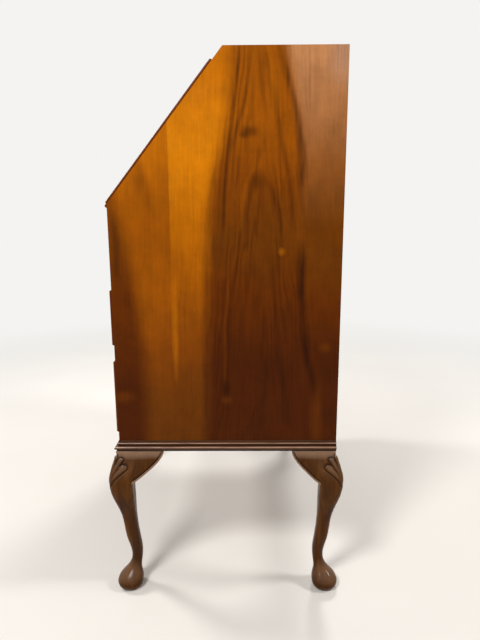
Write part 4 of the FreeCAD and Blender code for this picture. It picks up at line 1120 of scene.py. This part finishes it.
def seen_directly(tree):
    """1 for what the camera sees, straight, in a gloss or through glass, and 0 for light on things."""
    rays = add(tree, "LightPath").outputs
    seen = add(tree, "Math", rays["Is Camera Ray"], rays["Is Glossy Ray"], operation="MAXIMUM")
    return add(tree, "Math", seen, rays["Is Transmission Ray"], operation="MAXIMUM")


def pale_floor(stage):
    """Painted board, matt and pale, with a faint mottle, that runs out into the background."""
    material, tree, place = new_material("pale_paint")
    mottle = add(tree, "TexNoise", named={"Vector": place, "Scale": MOTTLED_PAINT, "Detail": 3.0})
    colour = shaded(tree, stage.floor, add(tree, "MapRange", mottle, 0.3, 0.7, 0.97, 1.0))
    paint = add(tree, "BsdfPrincipled", named={"Base Color": colour, "Roughness": 0.7})
    glow = add(tree, "Emission", stage.backdrop, 1.0)
    out = add(tree, "VectorMath", place, operation="LENGTH").outputs["Value"]
    far = add(tree, "MapRange", out, FADE_START, FADE_END, 0.0, 1.0, **SMOOTH)
    far = add(tree, "Math", far, seen_directly(tree), operation="MULTIPLY")
    add(tree, "OutputMaterial", add(tree, "MixShader", far, paint, glow))
    return material


def pale_ground(stage):
    """Round floor."""
    shape = bmesh.new()
    bmesh.ops.create_circle(shape, cap_ends=True, segments=FLOOR_STEPS, radius=FLOOR_RADIUS)
    mesh = bpy.data.meshes.new("floor")
    shape.to_mesh(mesh)
    shape.free()
    mesh.materials.append(pale_floor(stage))
    floor = bpy.data.objects.new("floor", mesh)
    bpy.context.scene.collection.objects.link(floor)


def lamps(stage):
    """Four soft round lamps: the main one and three weaker ones."""
    for name, place, is_key in LAMP_PLACES:
        data = bpy.data.lights.new(name, "AREA")
        data.shape = "DISK"
        data.size = LAMP_SIZE
        data.energy = stage.key if is_key else stage.fill
        lamp = bpy.data.objects.new(name, data)
        lamp.location = place
        lamp.rotation_euler = (Vector(LAMP_AIM) - Vector(place)).to_track_quat("-Z", "Y").to_euler()
        bpy.context.scene.collection.objects.link(lamp)


def sky(stage):
    """Even white light from all round, in front of a pale background."""
    world = bpy.data.worlds.new("studio")
    world.use_nodes = True
    tree = world.node_tree
    tree.nodes.clear()
    light = add(tree, "Background", linear("ffffff"), stage.sky)
    behind = add(tree, "Background", stage.backdrop, 1.0)
    add(tree, "OutputWorld", add(tree, "MixShader", seen_directly(tree), light, behind))
    bpy.context.scene.world = world


def camera(stage):
    """Camera at the photo's place, level and angle."""
    ahead = Vector((-math.cos(stage.yaw), -math.sin(stage.yaw), 0.0))
    right = Vector((-math.sin(stage.yaw), math.cos(stage.yaw), 0.0))
    up = Vector((0.0, 0.0, 1.0))
    view = ahead * math.cos(stage.pitch) - up * math.sin(stage.pitch)
    above = ahead * math.sin(stage.pitch) + up * math.cos(stage.pitch)
    across = right * math.cos(stage.roll) + above * math.sin(stage.roll)
    above = above * math.cos(stage.roll) - right * math.sin(stage.roll)
    data = bpy.data.cameras.new("photo_camera")
    data.sensor_fit = "VERTICAL"
    data.sensor_height = SENSOR_HEIGHT
    data.lens = stage.focal * SENSOR_HEIGHT / PHOTO_HEIGHT
    eye = bpy.data.objects.new("photo_camera", data)
    turn = Matrix((across, above, -view)).transposed().to_4x4()
    eye.matrix_world = Matrix.Translation(stage.eye) @ turn
    bpy.context.scene.collection.objects.link(eye)
    bpy.context.scene.camera = eye


class BUREAU_OT_stage(bpy.types.Operator):
    """Sets the floor, the lamps and the camera"""

    bl_idname = "bureau.stage"
    bl_label = "Stage"

    def execute(self, context):
        stage = context.scene.bureau_stage
        pale_ground(stage)
        lamps(stage)
        sky(stage)
        camera(stage)
        context.scene.view_settings.view_transform = "Standard"
        return {"FINISHED"}


OPERATORS = (
    BUREAU_OT_stage,
    BUREAU_OT_side_veneer,
    BUREAU_OT_front_veneer,
    BUREAU_OT_solid_walnut,
    BUREAU_OT_carved_legs,
    BUREAU_OT_ears,
    BUREAU_OT_oak_linings,
    BUREAU_OT_metal,
    BUREAU_OT_leather,
)
GROUPS = (
    ("bureau_woods", WoodTones),
    ("bureau_fittings", FittingTones),
    ("bureau_carving", CarvingSizes),
    ("bureau_stage", StageSettings),
)


class BUREAU_PT_panel(bpy.types.Panel):
    """Lists the steps that finish the bureau"""

    bl_idname = "BUREAU_PT_panel"
    bl_label = "Bureau"
    bl_space_type = "VIEW_3D"
    bl_region_type = "UI"
    bl_category = "Bureau"

    def draw(self, context):
        for operator in OPERATORS:
            self.layout.operator(operator.bl_idname)
        for name, group in GROUPS:
            box = self.layout.box()
            box.label(text=group.__doc__)
            for key in group.__annotations__:
                box.prop(getattr(context.scene, name), key)


def register():
    """Makes the sizes, colours, steps and panel known."""
    for name, group in GROUPS:
        bpy.utils.register_class(group)
        setattr(bpy.types.Scene, name, PointerProperty(type=group))
    for operator in OPERATORS:
        bpy.utils.register_class(operator)
    bpy.utils.register_class(BUREAU_PT_panel)


def unregister():
    """Takes them away again."""
    bpy.utils.unregister_class(BUREAU_PT_panel)
    for operator in reversed(OPERATORS):
        bpy.utils.unregister_class(operator)
    for name, group in reversed(GROUPS):
        delattr(bpy.types.Scene, name)
        bpy.utils.unregister_class(group)


def main():
    """Finishes every piece in order."""
    register()
    for operator in OPERATORS:
        family, step = operator.bl_idname.split(".")
        getattr(getattr(bpy.ops, family), step)()


if __name__ == "__main__":
    main()
